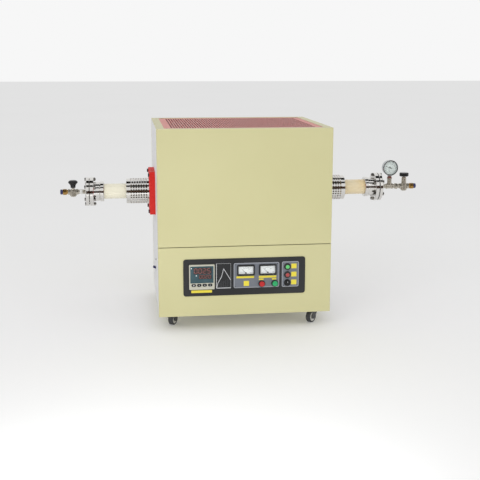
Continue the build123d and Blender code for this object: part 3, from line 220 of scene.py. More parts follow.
def make_lines_group():
    """Fine parallel lines left by brushing or turning, long across the given directions."""
    tree, given, out = new_group(
        "Tool Lines",
        [("Density", VECTOR, (900, 20, 20)), ("Bump", VALUE, 0.1)],
        [("Value", VALUE), ("Normal", VECTOR)],
    )
    factors = {0: object_place(tree), 1: given["Density"]}
    stretched = node(tree, "ShaderNodeVectorMath", factors, operation="MULTIPLY").outputs["Vector"]
    lines = node(tree, "ShaderNodeTexNoise", {"Vector": stretched, "Scale": 1, "Detail": 3})
    relief = {"Height": lines.outputs["Fac"], "Strength": given["Bump"], "Distance": 0.3 * MM}
    bump = node(tree, "ShaderNodeBump", relief)
    tree.links.new(lines.outputs["Fac"], out["Value"])
    tree.links.new(bump.outputs["Normal"], out["Normal"])
    return tree


def make_dust_group():
    """A thin uneven film on what faces up."""
    tree, given, out = new_group("Dust", [("Amount", VALUE, 0.2)], [("Mask", VALUE)])
    normal = tree.nodes.new("ShaderNodeNewGeometry").outputs["Normal"]
    up = math_node(tree, "MAXIMUM", component(tree, normal, "Z"), 0.0)
    cloud = node(tree, "ShaderNodeTexNoise", {"Vector": object_place(tree), "Scale": 25, "Detail": 6})
    film = math_node(tree, "MULTIPLY", up, cloud.outputs["Fac"])
    tree.links.new(math_node(tree, "MULTIPLY", film, given["Amount"], clamp=True), out["Mask"])
    return tree


GROUPS = {
    "Surface Grain": make_grain_group,
    "Edge Wear": make_wear_group,
    "Tool Lines": make_lines_group,
    "Dust": make_dust_group,
}


def placed_group(tree, name, **values):
    """One of the shared groups in a material, with its own values."""
    group = bpy.data.node_groups.get(name) or GROUPS[name]()
    inputs = {label.replace("_", " "): value for label, value in values.items()}
    return node(tree, "ShaderNodeGroup", inputs, node_tree=group).outputs


# --- finishes ---


def new_finish(name, roughness, metallic=0.0, **values):
    """A material with a Principled shader whose plain values are set on its own sockets."""
    material = bpy.data.materials.new(name)
    material.use_nodes = True
    tree = material.node_tree
    shader = tree.nodes["Principled BSDF"]
    shader.inputs["Roughness"].default_value = roughness
    shader.inputs["Metallic"].default_value = metallic
    for label, value in values.items():
        shader.inputs[label.replace("_", " ")].default_value = value
    return material, tree


def with_links(material, **outputs):
    """The material, with those outputs of its nodes linked to its Principled shader."""
    tree = material.node_tree
    for label, output in outputs.items():
        tree.links.new(output, tree.nodes["Principled BSDF"].inputs[label.replace("_", " ")])
    return material


def darker(colour, share):
    return [part * share for part in colour]


def lighter(colour, share):
    return [part + (1 - part) * share for part in colour]


def varied_roughness(tree, value, middle, spread):
    low, high = middle - spread, middle + spread
    limits = {"Value": value, "From Min": 0.3, "From Max": 0.7, "To Min": low, "To Max": high}
    return node(tree, "ShaderNodeMapRange", limits).outputs["Result"]


def enamel(name, colour, roughness=0.42, bump=0.12, wear=0.5, dust=0.12, shine=0.35, punched=None):
    """Powder-coat: fine grain, change of tone, worn edges, dust on top, and painted shade where punched: a dark
    colour on the hole walls and the underside.
    """
    material, tree = new_finish(name, roughness, Specular_IOR_Level=shine)
    grain = placed_group(tree, "Surface Grain", Tone_Scale=3.0, Grain_Scale=650.0, Bump=bump)
    worn = placed_group(tree, "Edge Wear", Width=0.0012, Amount=wear)
    dusty = placed_group(tree, "Dust", Amount=dust)
    tone = mix_colour(tree, grain["Tone"], darker(colour, 0.93), lighter(colour, 0.06))
    edged = mix_colour(tree, worn["Mask"], tone, lighter(colour, 0.45))
    dusted = mix_colour(tree, dusty["Mask"], edged, linear("cfcac0"))
    # painted shade: faces that don't look up, the hole walls and the underside, take the dark colour
    if punched:
        facing = tree.nodes.new("ShaderNodeNewGeometry").outputs["True Normal"]
        shaded_walls = math_node(tree, "LESS_THAN", component(tree, facing, "Z"), 0.5)
        dusted = mix_colour(tree, shaded_walls, dusted, punched)
    rough = varied_roughness(tree, grain["Grain"], roughness, 0.07)
    return with_links(material, Base_Color=dusted, Roughness=rough, Normal=grain["Normal"])


def steel(name, colour, roughness=0.2, density=(900.0, 20.0, 20.0), bump=0.12, tarnish=0.75):
    """Turned or brushed metal, with tool lines and a little tarnish."""
    material, tree = new_finish(name, roughness, metallic=1.0)
    lines = placed_group(tree, "Tool Lines", Density=density, Bump=bump)
    stain = placed_group(tree, "Surface Grain", Tone_Scale=45.0, Grain_Scale=400.0, Bump=0.0)
    body = mix_colour(tree, lines["Value"], darker(colour, 0.82), lighter(colour, 0.1))
    aged = mix_colour(tree, stain["Tone"], body, darker(colour, tarnish))
    rough = varied_roughness(tree, lines["Value"], roughness, 0.08)
    return with_links(material, Base_Color=aged, Roughness=rough, Normal=lines["Normal"])


def moulded(name, colour, roughness=0.4, grain=900.0, bump=0.15, wear=0.25, shine=0.4):
    """Moulded plastic or rubber, with a fine grain and rubbed edges."""
    material, tree = new_finish(name, roughness, Specular_IOR_Level=shine)
    skin = placed_group(tree, "Surface Grain", Tone_Scale=30.0, Grain_Scale=grain, Bump=bump)
    rubbed = placed_group(tree, "Edge Wear", Width=0.0006, Amount=wear)
    body = mix_colour(tree, skin["Tone"], darker(colour, 0.85), lighter(colour, 0.04))
    worn = mix_colour(tree, rubbed["Mask"], body, lighter(colour, 0.25))
    rough = varied_roughness(tree, skin["Grain"], roughness, 0.08)
    return with_links(material, Base_Color=worn, Roughness=rough, Normal=skin["Normal"])


def fired(name, colour, stain, roughness=0.38, shaded_reach=0.0, shade_above=0.0):
    """Cloudy, speckled ceramic, with painted shade: nearly black within its shaded reach, softening at its edge,
    and above its shade height; given a shaded reach, it is also warmer in patches on its right half.
    """
    material, tree = new_finish(name, roughness, Coat_Weight=0.15)
    cloud = placed_group(tree, "Surface Grain", Tone_Scale=14.0, Grain_Scale=320.0, Bump=0.06)
    place = object_place(tree)
    specks = node(tree, "ShaderNodeTexVoronoi", {"Vector": place, "Scale": 260.0})
    speck_mask = math_node(tree, "LESS_THAN", specks.outputs["Distance"], 0.09)
    body = mix_colour(tree, cloud["Tone"], darker(colour, 0.92), lighter(colour, 0.1))
    spotted = mix_colour(tree, math_node(tree, "MULTIPLY", speck_mask, 0.35), body, stain)
    # painted shade: the tube is nearly black out to near the guards' ends, where it is seen through their holes
    if shaded_reach:
        across = component(tree, place, "X")
        fade = 25 * MM  # how wide the painted shade's soft edge is
        away = math_node(tree, "ABSOLUTE", math_node(tree, "SUBTRACT", across, CENTRE_X))
        reach = {"Value": away, "From Min": shaded_reach - fade, "From Max": shaded_reach, "To Min": 0.85, "To Max": 0}
        near = node(tree, "ShaderNodeMapRange", reach)
        warm = math_node(tree, "MULTIPLY", math_node(tree, "GREATER_THAN", across, CENTRE_X), cloud["Tone"])
        toned = mix_colour(tree, warm, spotted, linear("efcb80"))
        spotted = mix_colour(tree, near.outputs["Result"], toned, linear("3a2a1c"))
    # painted shade: above the shade height, the board's top under the vent is nearly black
    if shade_above:
        above = math_node(tree, "GREATER_THAN", component(tree, place, "Z"), shade_above)
        spotted = mix_colour(tree, above, spotted, linear("2b2622"))
    rough = varied_roughness(tree, cloud["Grain"], roughness, 0.06)
    return with_links(material, Base_Color=spotted, Roughness=rough, Normal=cloud["Normal"])


def clear_pane(name):
    """A thin clear pane with a few smears."""
    material, tree = new_finish(name, 0.04, Alpha=0.05)
    smear = placed_group(tree, "Surface Grain", Tone_Scale=60.0, Grain_Scale=500.0, Bump=0.0)
    tint = mix_colour(tree, smear["Tone"], (0.9, 0.95, 0.95), (1, 1, 1))
    return with_links(material, Base_Color=tint, Roughness=varied_roughness(tree, smear["Tone"], 0.06, 0.03))


def lit(name, colour, strength, roughness=0.25):
    """A lit lens or segment, a little uneven in its glow."""
    material, tree = new_finish(name, roughness, Specular_IOR_Level=0.3, Emission_Strength=strength)
    cloud = placed_group(tree, "Surface Grain", Tone_Scale=180.0, Grain_Scale=900.0, Bump=0.05)
    glow = mix_colour(tree, cloud["Tone"], darker(colour, 0.8), lighter(colour, 0.15))
    return with_links(material, Base_Color=glow, Emission_Color=glow, Normal=cloud["Normal"])


def gas_pipe_metal(name):
    """Nickel-plated steel, with brass where it stands above the tee."""
    material, tree = new_finish(name, 0.25, metallic=1.0)
    nickel, brass = linear("cfc8ba"), linear("8f6a38")
    lines = placed_group(tree, "Tool Lines", Density=(500.0, 60.0, 60.0), Bump=0.15)
    height = component(tree, object_place(tree), "Z")
    above = math_node(tree, "GREATER_THAN", height, TUBE.z + 33.9 * MM)
    body = mix_colour(tree, above, nickel, brass)
    lined = mix_colour(tree, lines["Value"], body, darker(nickel, 0.55))
    rough = varied_roughness(tree, lines["Value"], 0.27, 0.08)
    return with_links(material, Base_Color=lined, Roughness=rough, Normal=lines["Normal"])


def make_finishes():
    """Every finish of the furnace, by the record's slot names, with a few that only new pieces use."""
    chosen = settings()
    chamber_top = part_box("chamber_upper")[1].z
    return {
        "cabinet_enamel": enamel("Cabinet Enamel", chosen.cabinet_colour),
        "side_enamel": enamel("Side Enamel", chosen.side_colour),
        "red_enamel": enamel(
            "Red Enamel", chosen.plate_colour, roughness=0.5, wear=0.1, dust=0.03, shine=0.05
        ),
        # the vent's dark colour is painted shade in its holes and under it
        "grille_enamel": enamel(
            "Vent Enamel", chosen.vent_colour, roughness=0.5, wear=0.0, dust=0.3, punched=linear("2e1418")
        ),
        "zinc_sheet": steel("Zinc Sheet", linear("a9adb0"), roughness=0.42, density=(60.0, 60.0, 12.0)),
        "fibre_board": fired("Fibre Board", linear("e9e6dc"), linear("c8c2b2"), roughness=0.9),
        # painted shade: the upper board's top, seen through the vent, is nearly black
        "shaded_board": fired(
            "Shaded Board", linear("e9e6dc"), linear("c8c2b2"), roughness=0.9, shade_above=chamber_top - 1 * MM
        ),
        "element": fired("Heating Element", linear("4a4644"), linear("241f1c"), roughness=0.6),
        # painted shade on the tube, nearly black inside the guards
        "alumina": fired("Alumina", chosen.tube_colour, linear("c9a96a"), shaded_reach=GUARDS_HIGH.x - CENTRE_X),
        "stainless": steel("Stainless Steel", linear("e6e4e0"), roughness=0.11, bump=0.06, tarnish=0.88),
        "nickel": gas_pipe_metal("Nickel Plate"),
        "dark_bolt": steel("Black Bolt", linear("4a4a4c"), roughness=0.35),
        "bright_bolt": steel("Bright Bolt", linear("a8a5a0"), roughness=0.2, density=(40.0, 40.0, 40.0)),
        "knob_black": moulded(
            "Gloss Black", linear("050506"), roughness=0.12, bump=0.02, wear=0.0, shine=0.25
        ),
        "seal_rubber": moulded("Seal Rubber", linear("1c1c1d"), roughness=0.7),
        "brass": steel("Brass", linear("b98f45"), roughness=0.24),
        "blue_plastic": moulded("Blue Plastic", linear("1b2460"), roughness=0.3),
        "black_plastic": moulded("Black Plastic", linear("121213"), roughness=0.35, shine=0.25),
        "grey_plastic": moulded("Grey Plastic", linear("cbc9ba"), roughness=0.45),
        "fascia_black": enamel(
            "Fascia Paint", chosen.fascia_colour, roughness=0.6, wear=0.1, dust=0.0, shine=0.1
        ),
        "window": clear_pane("Window"),
        "gauge_steel": steel("Gauge Case", linear("b9bdbf"), roughness=0.16),
        "needle": enamel("Needle Paint", linear("151515"), roughness=0.4, wear=0.1, dust=0.0),
        "red_button": moulded("Red Button", linear("c4151a"), roughness=0.28, shine=0.25),
        "green_button": moulded("Green Button", linear("1fac68"), roughness=0.28, shine=0.25),
        "lamp": moulded("Lamp Collar", linear("1a1a1c"), roughness=0.4),
        "caster_steel": enamel("Caster Steel", linear("3c3d40"), roughness=0.38, wear=0.6),
        "caster_tyre": moulded("Tyre", linear("3f4145"), roughness=0.65, grain=400.0),
        "inlay": enamel("Grey Inlay", chosen.inlay_colour, roughness=0.5, wear=0.1, dust=0.0),
        "border": enamel("Inlay Border", chosen.border_colour, roughness=0.45, wear=0.1, dust=0.0),
        "label": enamel("Blank Label", chosen.label_colour, roughness=0.4, wear=0.2, dust=0.05),
        "print": enamel("White Print", linear("dcdee2"), roughness=0.55, wear=0.0, dust=0.0),
        "dial": enamel("Dial Face", linear("fbffff"), roughness=0.55, wear=0.0, dust=0.0),
        "gauge_dial": enamel("Gauge Dial", linear("dfe9e5"), roughness=0.55, wear=0.0, dust=0.0),
        "ink": enamel("Dial Ink", linear("20262c"), roughness=0.6, wear=0.0, dust=0.0),
        "display": moulded("Display Glass", linear("2b4f59"), roughness=0.16, bump=0.0, wear=0.1),
        "segment": lit("Lit Segment", linear("7e2c20"), 0.04),
        "filter": moulded("Display Filter", linear("1c1011"), roughness=0.3, bump=0.0, wear=0.0),
        "indicator": lit("Indicator", linear("dfe8e8"), 0.5),
        "green_lens": lit("Green Lens", linear("3fc25c"), 0.2),
        "red_lens": lit("Red Lens", linear("b3161c"), 0.03),
        "hub": moulded("Wheel Hub", linear("e4e2dc"), roughness=0.45, grain=500.0),
        "tape": moulded("Thread Tape", linear("f4f3ef"), roughness=0.6, grain=300.0, bump=0.5, wear=0.0),
        "red_seal": moulded("Red Seal", linear("7d3229"), roughness=0.5),
    }


FINISH = {}


# --- modelling ---


def clear_selection():
    if bpy.context.mode != "OBJECT":
        bpy.ops.object.mode_set(mode="OBJECT")
    bpy.ops.object.select_all(action="DESELECT")


def pick(piece):
    clear_selection()
    piece.select_set(True)
    bpy.context.view_layer.objects.active = piece


def edit(piece, kind, test):
    """Opens a piece in edit mode with only those vertices, edges or faces selected that pass the test."""
    pick(piece)
    bpy.ops.object.mode_set(mode="EDIT")
    bpy.ops.mesh.select_mode(type=kind)
    bpy.ops.mesh.select_all(action="DESELECT")
    mesh = bmesh.from_edit_mesh(piece.data)
    for item in {"VERT": mesh.verts, "EDGE": mesh.edges, "FACE": mesh.faces}[kind]:
        if test(item):
            item.select_set(True)
    mesh.select_flush_mode()
    bmesh.update_edit_mesh(piece.data)


def leave_edit():
    bpy.ops.object.mode_set(mode="OBJECT")


def bake_place(piece):
    pick(piece)
    bpy.ops.object.transform_apply(location=True, rotation=True, scale=True)


def added(operator, **options):
    """The object that an add operator makes, with its place and turn applied to its mesh."""
    clear_selection()
    operator(**options)
    piece = bpy.context.object
    bake_place(piece)
    return piece


def along(edge, axis):
    direction = (edge.verts[1].co - edge.verts[0].co).normalized()
    return abs(direction[axis]) > 0.999


def bevelled(piece, test, width, segments=2):
    """Bevels those edges of a piece that pass the test."""
    edit(piece, "EDGE", test)
    bpy.ops.mesh.bevel(offset=width, segments=segments, affect="EDGES")
    leave_edit()


def slab(x, z, width, height, front, thickness, corner=0.0, edge=0.0):
    """A plate with rounded corners that looks to the front, its face at y = front."""
    place, scale = (x, front + thickness / 2, z), (width, thickness, height)
    piece = added(bpy.ops.mesh.primitive_cube_add, size=1, location=place, scale=scale)
    if corner:
        bevelled(piece, lambda item: along(item, 1), corner, segments=5)
    if edge:
        bevelled(piece, lambda item: all(end.co.y < front + 1e-7 for end in item.verts), edge)
    return piece


TURNS = {"X": (0, math.pi / 2, 0), "Y": (math.pi / 2, 0, 0), "Z": (0, 0, 0)}


def band(centre, radius, width, wall, axis, edge):
    """A ring of rectangular section, its outer radius given, its rims rounded."""
    piece = added(
        bpy.ops.mesh.primitive_cylinder_add,
        vertices=48,
        radius=radius,
        depth=width,
        end_fill_type="NOTHING",
        location=centre,
        rotation=TURNS[axis],
    )
    finish_with(piece, "SOLIDIFY", thickness=wall, offset=-1)
    limit = math.radians(50)
    finish_with(piece, "BEVEL", width=edge, segments=2, limit_method="ANGLE", angle_limit=limit)
    return piece


def finish_with(piece, kind, **options):
    """Adds a modifier and applies it."""
    pick(piece)
    bpy.ops.object.modifier_add(type=kind)
    modifier = piece.modifiers[-1]
    for name, value in options.items():
        setattr(modifier, name, value)
    bpy.ops.object.modifier_apply(modifier=modifier.name)


def joined(pieces):
    """Several meshes as one."""
    clear_selection()
    for piece in pieces:
        piece.select_set(True)
    bpy.context.view_layer.objects.active = pieces[0]
    if len(pieces) > 1:
        bpy.ops.object.join()
    return bpy.context.view_layer.objects.active


def repeated(pattern, places):
    """Copies of one modelled piece, moved by each matrix and joined."""
    copies = []
    for place in places:
        copy = pattern.copy()
        copy.data = pattern.data.copy()
        copy.data.transform(place)
        bpy.context.scene.collection.objects.link(copy)
        copies.append(copy)
    bpy.data.objects.remove(pattern)
    return joined(copies)


def settle(piece, name, finish, body=ROOT, smooth=35):
    """Names a finished piece, gives it its finish, and lets it ride on its body."""
    bake_place(piece)
    edit(piece, "FACE", lambda item: True)
    bpy.ops.mesh.normals_make_consistent(inside=False)
    leave_edit()
    bpy.ops.object.shade_smooth_by_angle(angle=math.radians(smooth))
    piece.name = name
    piece.data.name = name
    piece.data.materials.clear()
    piece.data.materials.append(FINISH[finish])
    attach(piece, body)
    return piece


def on_panel(x, z):
    """Metres, from millimetres right of the cabinet's centre and above its underside."""
    return CENTRE_X + x * MM, UNDERSIDE + z * MM


def panel_slab(span_x, span_z, front, thickness, corner=0.0, edge=0.0):
    """A plate on the control panel, between two limits each way, in millimetres."""
    x, z = on_panel(sum(span_x) / 2, sum(span_z) / 2)
    width = (span_x[1] - span_x[0]) * MM
    height = (span_z[1] - span_z[0]) * MM
    return slab(x, z, width, height, front, thickness * MM, corner * MM, edge * MM)


def swung(piece, centre, angle):
    """A flat piece made about the origin, turned counterclockwise and moved to a centre."""
    piece.data.transform(Matrix.Translation((centre[0], 0, centre[1])) @ Matrix.Rotation(-angle, 4, "Y"))
    return piece


def stroke(start, end, width, front, thickness=0.2):
    """A straight printed line between two points of the control panel."""
    (x1, z1), (x2, z2) = on_panel(*start), on_panel(*end)
    piece = slab(0, 0, math.hypot(x2 - x1, z2 - z1), width * MM, front, thickness * MM)
    return swung(piece, ((x1 + x2) / 2, (z1 + z2) / 2), math.atan2(z2 - z1, x2 - x1))


def number(text, x, z, front, height):
    """A plain printed number that looks to the front."""
    clear_selection()
    bpy.ops.object.text_add(location=(x, front, z), rotation=(math.pi / 2, 0, 0))
    piece = bpy.context.object
    piece.data.body = text
    piece.data.size = height
    piece.data.align_x = "CENTER"
    piece.data.align_y = "CENTER"
    piece.data.extrude = 0.08 * MM
    piece.data.resolution_u = 3
    bpy.ops.object.convert(target="MESH")
    piece = bpy.context.object
    bake_place(piece)
    return piece


PRINT = 0.2 * MM  # how far printed marks stand proud


def scale_marks(centre, front, radius, arc, steps, long_every, width, lengths):
    """Ticks along an arc of a dial, in degrees counterclockwise from the right, and the line under them."""
    start, sweep = math.radians(arc[0]), math.radians(arc[1] - arc[0])
    marks = []
    for step in range(steps + 1):
        length = lengths[0] if step % long_every == 0 else lengths[1]
        mark = slab(radius + length / 2, 0, length, width, front, PRINT)
        marks.append(swung(mark, centre, start + sweep * step / steps))
    pieces = 3 * steps
    lapped_chord = 2.1 * radius * math.sin(abs(sweep) / pieces / 2)
    for step in range(pieces):
        line = slab(radius, 0, width * 0.7, lapped_chord, front, PRINT)
        marks.append(swung(line, centre, start + sweep * (step + 0.5) / pieces))
    return marks


def scale_numbers(centre, front, radius, arc, values, height):
    """Plain numbers spread evenly along an arc of a dial."""
    numbers = []
    for place, value in enumerate(values):
        angle = math.radians(arc[0] + (arc[1] - arc[0]) * place / (len(values) - 1))
        x, z = centre[0] + radius * math.cos(angle), centre[1] + radius * math.sin(angle)
        numbers.append(number(str(value), x, z, front, height))
    return numbers


def punched_cell(pitch, radius):
    """A square of sheet one pitch wide with a round hole in its middle."""
    corners = 12
    half_step = math.pi / corners
    turn = (0, 0, half_step)
    piece = added(bpy.ops.mesh.primitive_circle_add, vertices=corners, radius=radius, rotation=turn)
    edit(piece, "EDGE", lambda item: True)
    bpy.ops.mesh.extrude_edges_move()
    grow = pitch / 2 / radius
    bpy.ops.transform.resize(value=(grow, grow, 1), center_override=(0, 0, 0))
    leave_edit()
    middle = (pitch / 2 + radius) / 2

    def from_axis(vertex):
        angle = math.atan2(vertex.co.y, vertex.co.x) % (math.pi / 2)
        return min(angle, math.pi / 2 - angle)

    for angle in (half_step, 3 * half_step):
        edit(piece, "VERT", lambda item: item.co.length > middle and abs(from_axis(item) - angle) < 0.01)
        out = 1 / math.cos(angle)
        bpy.ops.transform.resize(value=(out, out, 1), center_override=(0, 0, 0))
        leave_edit()
    return piece


def punched_sheet(pitch, radius, columns, rows):
    """A sheet of punched cells, centred on the origin."""
    piece = punched_cell(pitch, radius)
    for count, step in ((columns, (pitch, 0, 0)), (rows, (0, pitch, 0))):
        finish_with(
            piece,
            "ARRAY",
            count=count,
            use_relative_offset=False,
            use_constant_offset=True,
            constant_offset_displace=step,
            use_merge_vertices=True,
            merge_threshold=1e-6,
        )
    edit(piece, "VERT", lambda item: True)
    bpy.ops.mesh.remove_doubles(threshold=1e-6)
    leave_edit()
    piece.location = (-pitch * (columns - 1) / 2, -pitch * (rows - 1) / 2, 0)
    bake_place(piece)
    return piece


def at_limit(edge, axis, limit):
    return len(edge.link_faces) == 1 and all(abs(end.co[axis] - limit) < 1e-5 for end in edge.verts)


def screws(name, places, radius, axis_turn):
    """Round-headed screws with a socket, at points given in metres, all facing one way, as one piece."""
    depth = radius * 0.7
    middle = (0, 0, depth / 2)
    cylinder = bpy.ops.mesh.primitive_cylinder_add
    head = added(cylinder, vertices=20, radius=radius, depth=depth, location=middle)
    bevelled(head, lambda item: all(end.co.z > depth * 0.9 for end in item.verts), radius * 0.25)
    edit(head, "FACE", lambda item: item.normal.z > 0.99)
    bpy.ops.mesh.inset(thickness=radius * 0.3)
    bpy.ops.mesh.extrude_region_move(TRANSFORM_OT_translate={"value": (0, 0, -depth * 0.5)})
    leave_edit()
    heads = repeated(head, [Matrix.Translation(place) @ axis_turn for place in places])
    settle(heads, name, "dark_bolt")


FACE_FRONT = Matrix.Rotation(math.pi / 2, 4, "X")
FACE_BACK = Matrix.Rotation(-math.pi / 2, 4, "X")
FACE_LEFT = Matrix.Rotation(-math.pi / 2, 4, "Y")


# --- pieces ---


# Nodes whose finish isn't their slot's.
NODE_FINISHES = {
    "chamber_upper": "shaded_board",
    "flange_bolts": "bright_bolt",
    "left_valve_knob": "knob_black",
    "right_valve_handle": "knob_black",
}


def dress_nodes():
    """Gives each CAD node the finish of its slot, or its own."""
    FINISH.update(make_finishes())
    for row in frame["record"]["subparts"]:
        slots = frame["nodes"][row["node"]].data.materials
        slots.clear()
        slots.append(FINISH[NODE_FINISHES.get(row["node"], row["material_slot"])])


def make_vent():
    """The perforated vent, with its many small holes."""
    chosen = settings()
    size = VENT_HIGH - VENT_LOW
    columns = math.floor((size.x - 2 * chosen.vent_border) / chosen.vent_pitch)
    rows = math.floor((size.y - 2 * chosen.vent_border) / chosen.vent_pitch)
    plate = punched_sheet(chosen.vent_pitch, chosen.vent_hole, columns, rows)
    half_x, half_y = columns * chosen.vent_pitch / 2, rows * chosen.vent_pitch / 2
    limits = ((0, half_x), (0, -half_x), (1, half_y), (1, -half_y))
    edit(plate, "EDGE", lambda item: any(at_limit(item, axis, limit) for axis, limit in limits))
    bpy.ops.mesh.extrude_edges_move()
    grow = (size.x / 2 / half_x, size.y / 2 / half_y, 1)
    bpy.ops.transform.resize(value=grow, center_override=(0, 0, 0))
    leave_edit()
    finish_with(plate, "SOLIDIFY", thickness=0.8 * MM, offset=-1)
    middle = (VENT_LOW + VENT_HIGH) / 2
    plate.location = (middle.x, middle.y, VENT_HIGH.z)
    settle(plate, "vent_plate", "grille_enamel", smooth=40)
    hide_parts("top_grille")
    inset = 10 * MM
    corners = [
        (x, y, VENT_HIGH.z)
        for x in (VENT_LOW.x + inset, VENT_HIGH.x - inset)
        for y in (VENT_LOW.y + inset, VENT_HIGH.y - inset)
    ]
    screws("vent_screws", corners, 2.6 * MM, Matrix.Identity(4))


GUARD_WALL = 1.5 * MM
GUARD_SEAT = 3 * MM  # how deep a guard sits in its plate
GUARD_END_BAND = 14 * MM


def make_guard(side, name):
    """A perforated sleeve round the tube: rings of holes and a plain band at its open end."""
    chosen = settings()
    plate_face = PLATES_HIGH.x if side > 0 else PLATES_LOW.x
    end = GUARDS_HIGH.x if side > 0 else GUARDS_LOW.x
    length = abs(end - plate_face) + GUARD_SEAT
    middle_radius = (GUARDS_HIGH.z - GUARDS_LOW.z - GUARD_WALL) / 2
    pitch = 2 * math.pi * middle_radius / chosen.guard_holes
    sheet = punched_sheet(pitch, chosen.guard_hole, chosen.guard_holes, chosen.guard_rows)
    half = chosen.guard_rows * pitch / 2
    root_band = length - 2 * half - GUARD_END_BAND
    for limit, run in ((half, GUARD_END_BAND), (-half, -root_band)):
        edit(sheet, "EDGE", lambda item: at_limit(item, 1, limit))
        bpy.ops.mesh.extrude_edges_move(TRANSFORM_OT_translate={"value": (0, run, 0)})
        leave_edit()
    sheet.rotation_euler = (math.pi / 2, 0, 0)
    bake_place(sheet)
    finish_with(sheet, "SIMPLE_DEFORM", deform_method="BEND", angle=2 * math.pi, deform_axis="Z")
    edit(sheet, "VERT", lambda item: True)
    bpy.ops.mesh.remove_doubles(threshold=5e-5)
    bpy.ops.mesh.normals_make_consistent(inside=False)
    leave_edit()
    finish_with(sheet, "SOLIDIFY", thickness=GUARD_WALL, offset=0)
    sheet.rotation_euler = (0, side * math.pi / 2, 0)
    bake_place(sheet)
    corners = [Vector(corner) for corner in sheet.bound_box]
    low = Vector(min(corner[axis] for corner in corners) for axis in range(3))
    high = Vector(max(corner[axis] for corner in corners) for axis in range(3))
    target = Vector(((plate_face - side * GUARD_SEAT + end) / 2, TUBE.y, TUBE.z))
    sheet.location = target - (low + high) / 2
    return settle(sheet, name, "stainless", smooth=40)


def make_guards():
    right = make_guard(1, "right_guard")
    make_guard(-1, "left_guard")
    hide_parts("tube_guards")


# Spans on the control panel are in millimetres right of the cabinet's centre and above its underside.
INLAY = 0.45  # how far the grey plates stand proud
INLAYS = {
    "meter_inlay": ((-46, 128.5), (105, 202)),
    "switch_inlay": ((139, 204), (104, 203)),
}


def make_inlays():
    """Grey plates with pale borders, and the screws in their corners."""
    border, screw_inset = 2.4, 3.5
    front = FASCIA - INLAY * MM
    places = []
    for name, (span_x, span_z) in INLAYS.items():
        rim = panel_slab(span_x, span_z, FASCIA - 0.3 * MM, 0.3, corner=6, edge=0.1)
        settle(rim, name + "_border", "border")
        inner_x = (span_x[0] + border, span_x[1] - border)
        inner_z = (span_z[0] + border, span_z[1] - border)
        face = panel_slab(inner_x, inner_z, front, INLAY, corner=4, edge=0.1)
        settle(face, name, "inlay")
        for x in (inner_x[0] + screw_inset, inner_x[1] - screw_inset):
            for z in (inner_z[0] + screw_inset, inner_z[1] - screw_inset):
                px, pz = on_panel(x, z)
                places.append((px, front, pz))
    screws("inlay_screws", places, 1.5 * MM, FACE_FRONT)


# Each label's two spans, and what lies under it on the fascia, in millimetres.
LABELS = {
    "controller_label": ((-207.5, -129), (91, 101), 0.0),
    "voltmeter_label": ((-36, 31.6), (142.9, 151), INLAY),
    "ammeter_label": ((49.8, 117.4), (142.0, 150.4), INLAY),
    "stop_label": ((50, 68.4), (134, 139.4), INLAY),
    "start_label": ((100.4, 117.5), (134, 139.4), INLAY),
    "blank_label": ((-8, 12.5), (112.5, 132), INLAY),
    "green_lamp_label": ((175, 195.5), (175.5, 194.2), INLAY),
    "red_lamp_label": ((175, 195.5), (143.6, 162.4), INLAY),
    "selector_label": ((175, 195.5), (112.4, 131.6), INLAY),
}


def make_labels():
    """Blank yellow plates, each with a raised border."""
    thickness, border, sunk = 0.5, 0.7 * MM, 0.15 * MM
    for name, (span_x, span_z, under) in LABELS.items():
        front = FASCIA - (under + thickness) * MM
        plate = panel_slab(span_x, span_z, front, thickness, corner=1.2, edge=0.15)
        edit(plate, "FACE", lambda item: item.normal.y < -0.99)
        bpy.ops.mesh.inset(thickness=border)
        bpy.ops.mesh.extrude_region_move(TRANSFORM_OT_translate={"value": (0, sunk, 0)})
        leave_edit()
        settle(plate, name, "label")


CHART_CURVE = ((-110.5, 108), (-107.8, 123.7), (-92.5, 151.3), (-84.5, 182.2), (-58.5, 138.5))


def make_chart():
    """A printed chart of temperature against time: two axes, a frame, guide lines and a curve."""
    left, right, low, high = -112, -57.3, 107, 202
    front = FASCIA - 0.2 * MM
    lines = [
        stroke((left, low), (left, high), 1.8, front),
        stroke((left, low), (right, low), 2.4, front),
        stroke((left, high), (right, high), 0.6, front),
        stroke((right, low), (right, high), 0.6, front),
    ]
    lines += [stroke(*pair, 1.8, front) for pair in zip(CHART_CURVE, CHART_CURVE[1:])]
    for step in range(1, 9):
        height = low + (high - low) * step / 9
        lines.append(stroke((left, height), (left + 2.4, height), 0.6, front))
    settle(joined(lines), "chart", "print")
    guides = []
    for step in range(1, 8):
        x = left + (right - left) * step / 8
        guides.append(stroke((x, low + 1), (x, 138 + 4 * math.cos(step)), 0.35, FASCIA - 0.1 * MM, 0.1))
    settle(joined(guides), "chart_guides", "inlay")


# The bars of each digit that is lit, lettered clockwise from the top, with the middle one last.
SEGMENTS = {
    "0": "abcdef",
    "2": "abdeg",
    "5": "acdfg",
}


def seven_segment(text, left, top, height, gap, front):
    """Digits of seven bars each, from the left end and the top edge given in millimetres."""
    width = height * 0.55
    bar = height * 0.15
    half = height / 2
    bars = {
        "a": (width / 2, 0, 0),
        "g": (width / 2, -half, 0),
        "d": (width / 2, -height, 0),
        "f": (0, -half / 2, 1),
        "b": (width, -half / 2, 1),
        "e": (0, -half * 1.5, 1),
        "c": (width, -half * 1.5, 1),
    }
    made = []
    for place, digit in enumerate(text):
        for letter in SEGMENTS[digit]:
            x, z, upright = bars[letter]
            length = (half if upright else width) - bar * 0.9
            px, pz = on_panel(left + place * (width + gap) + x, top + z)
            across, high = (bar, length) if upright else (length, bar)
            made.append(slab(px, pz, across * MM, high * MM, front, 0.15 * MM, corner=bar * 0.38 * MM))
    return made


# How far the mark of each key is turned, in degrees.
KEY_MARKS = {"set": 0, "shift": 90, "down": 180, "up": 0}


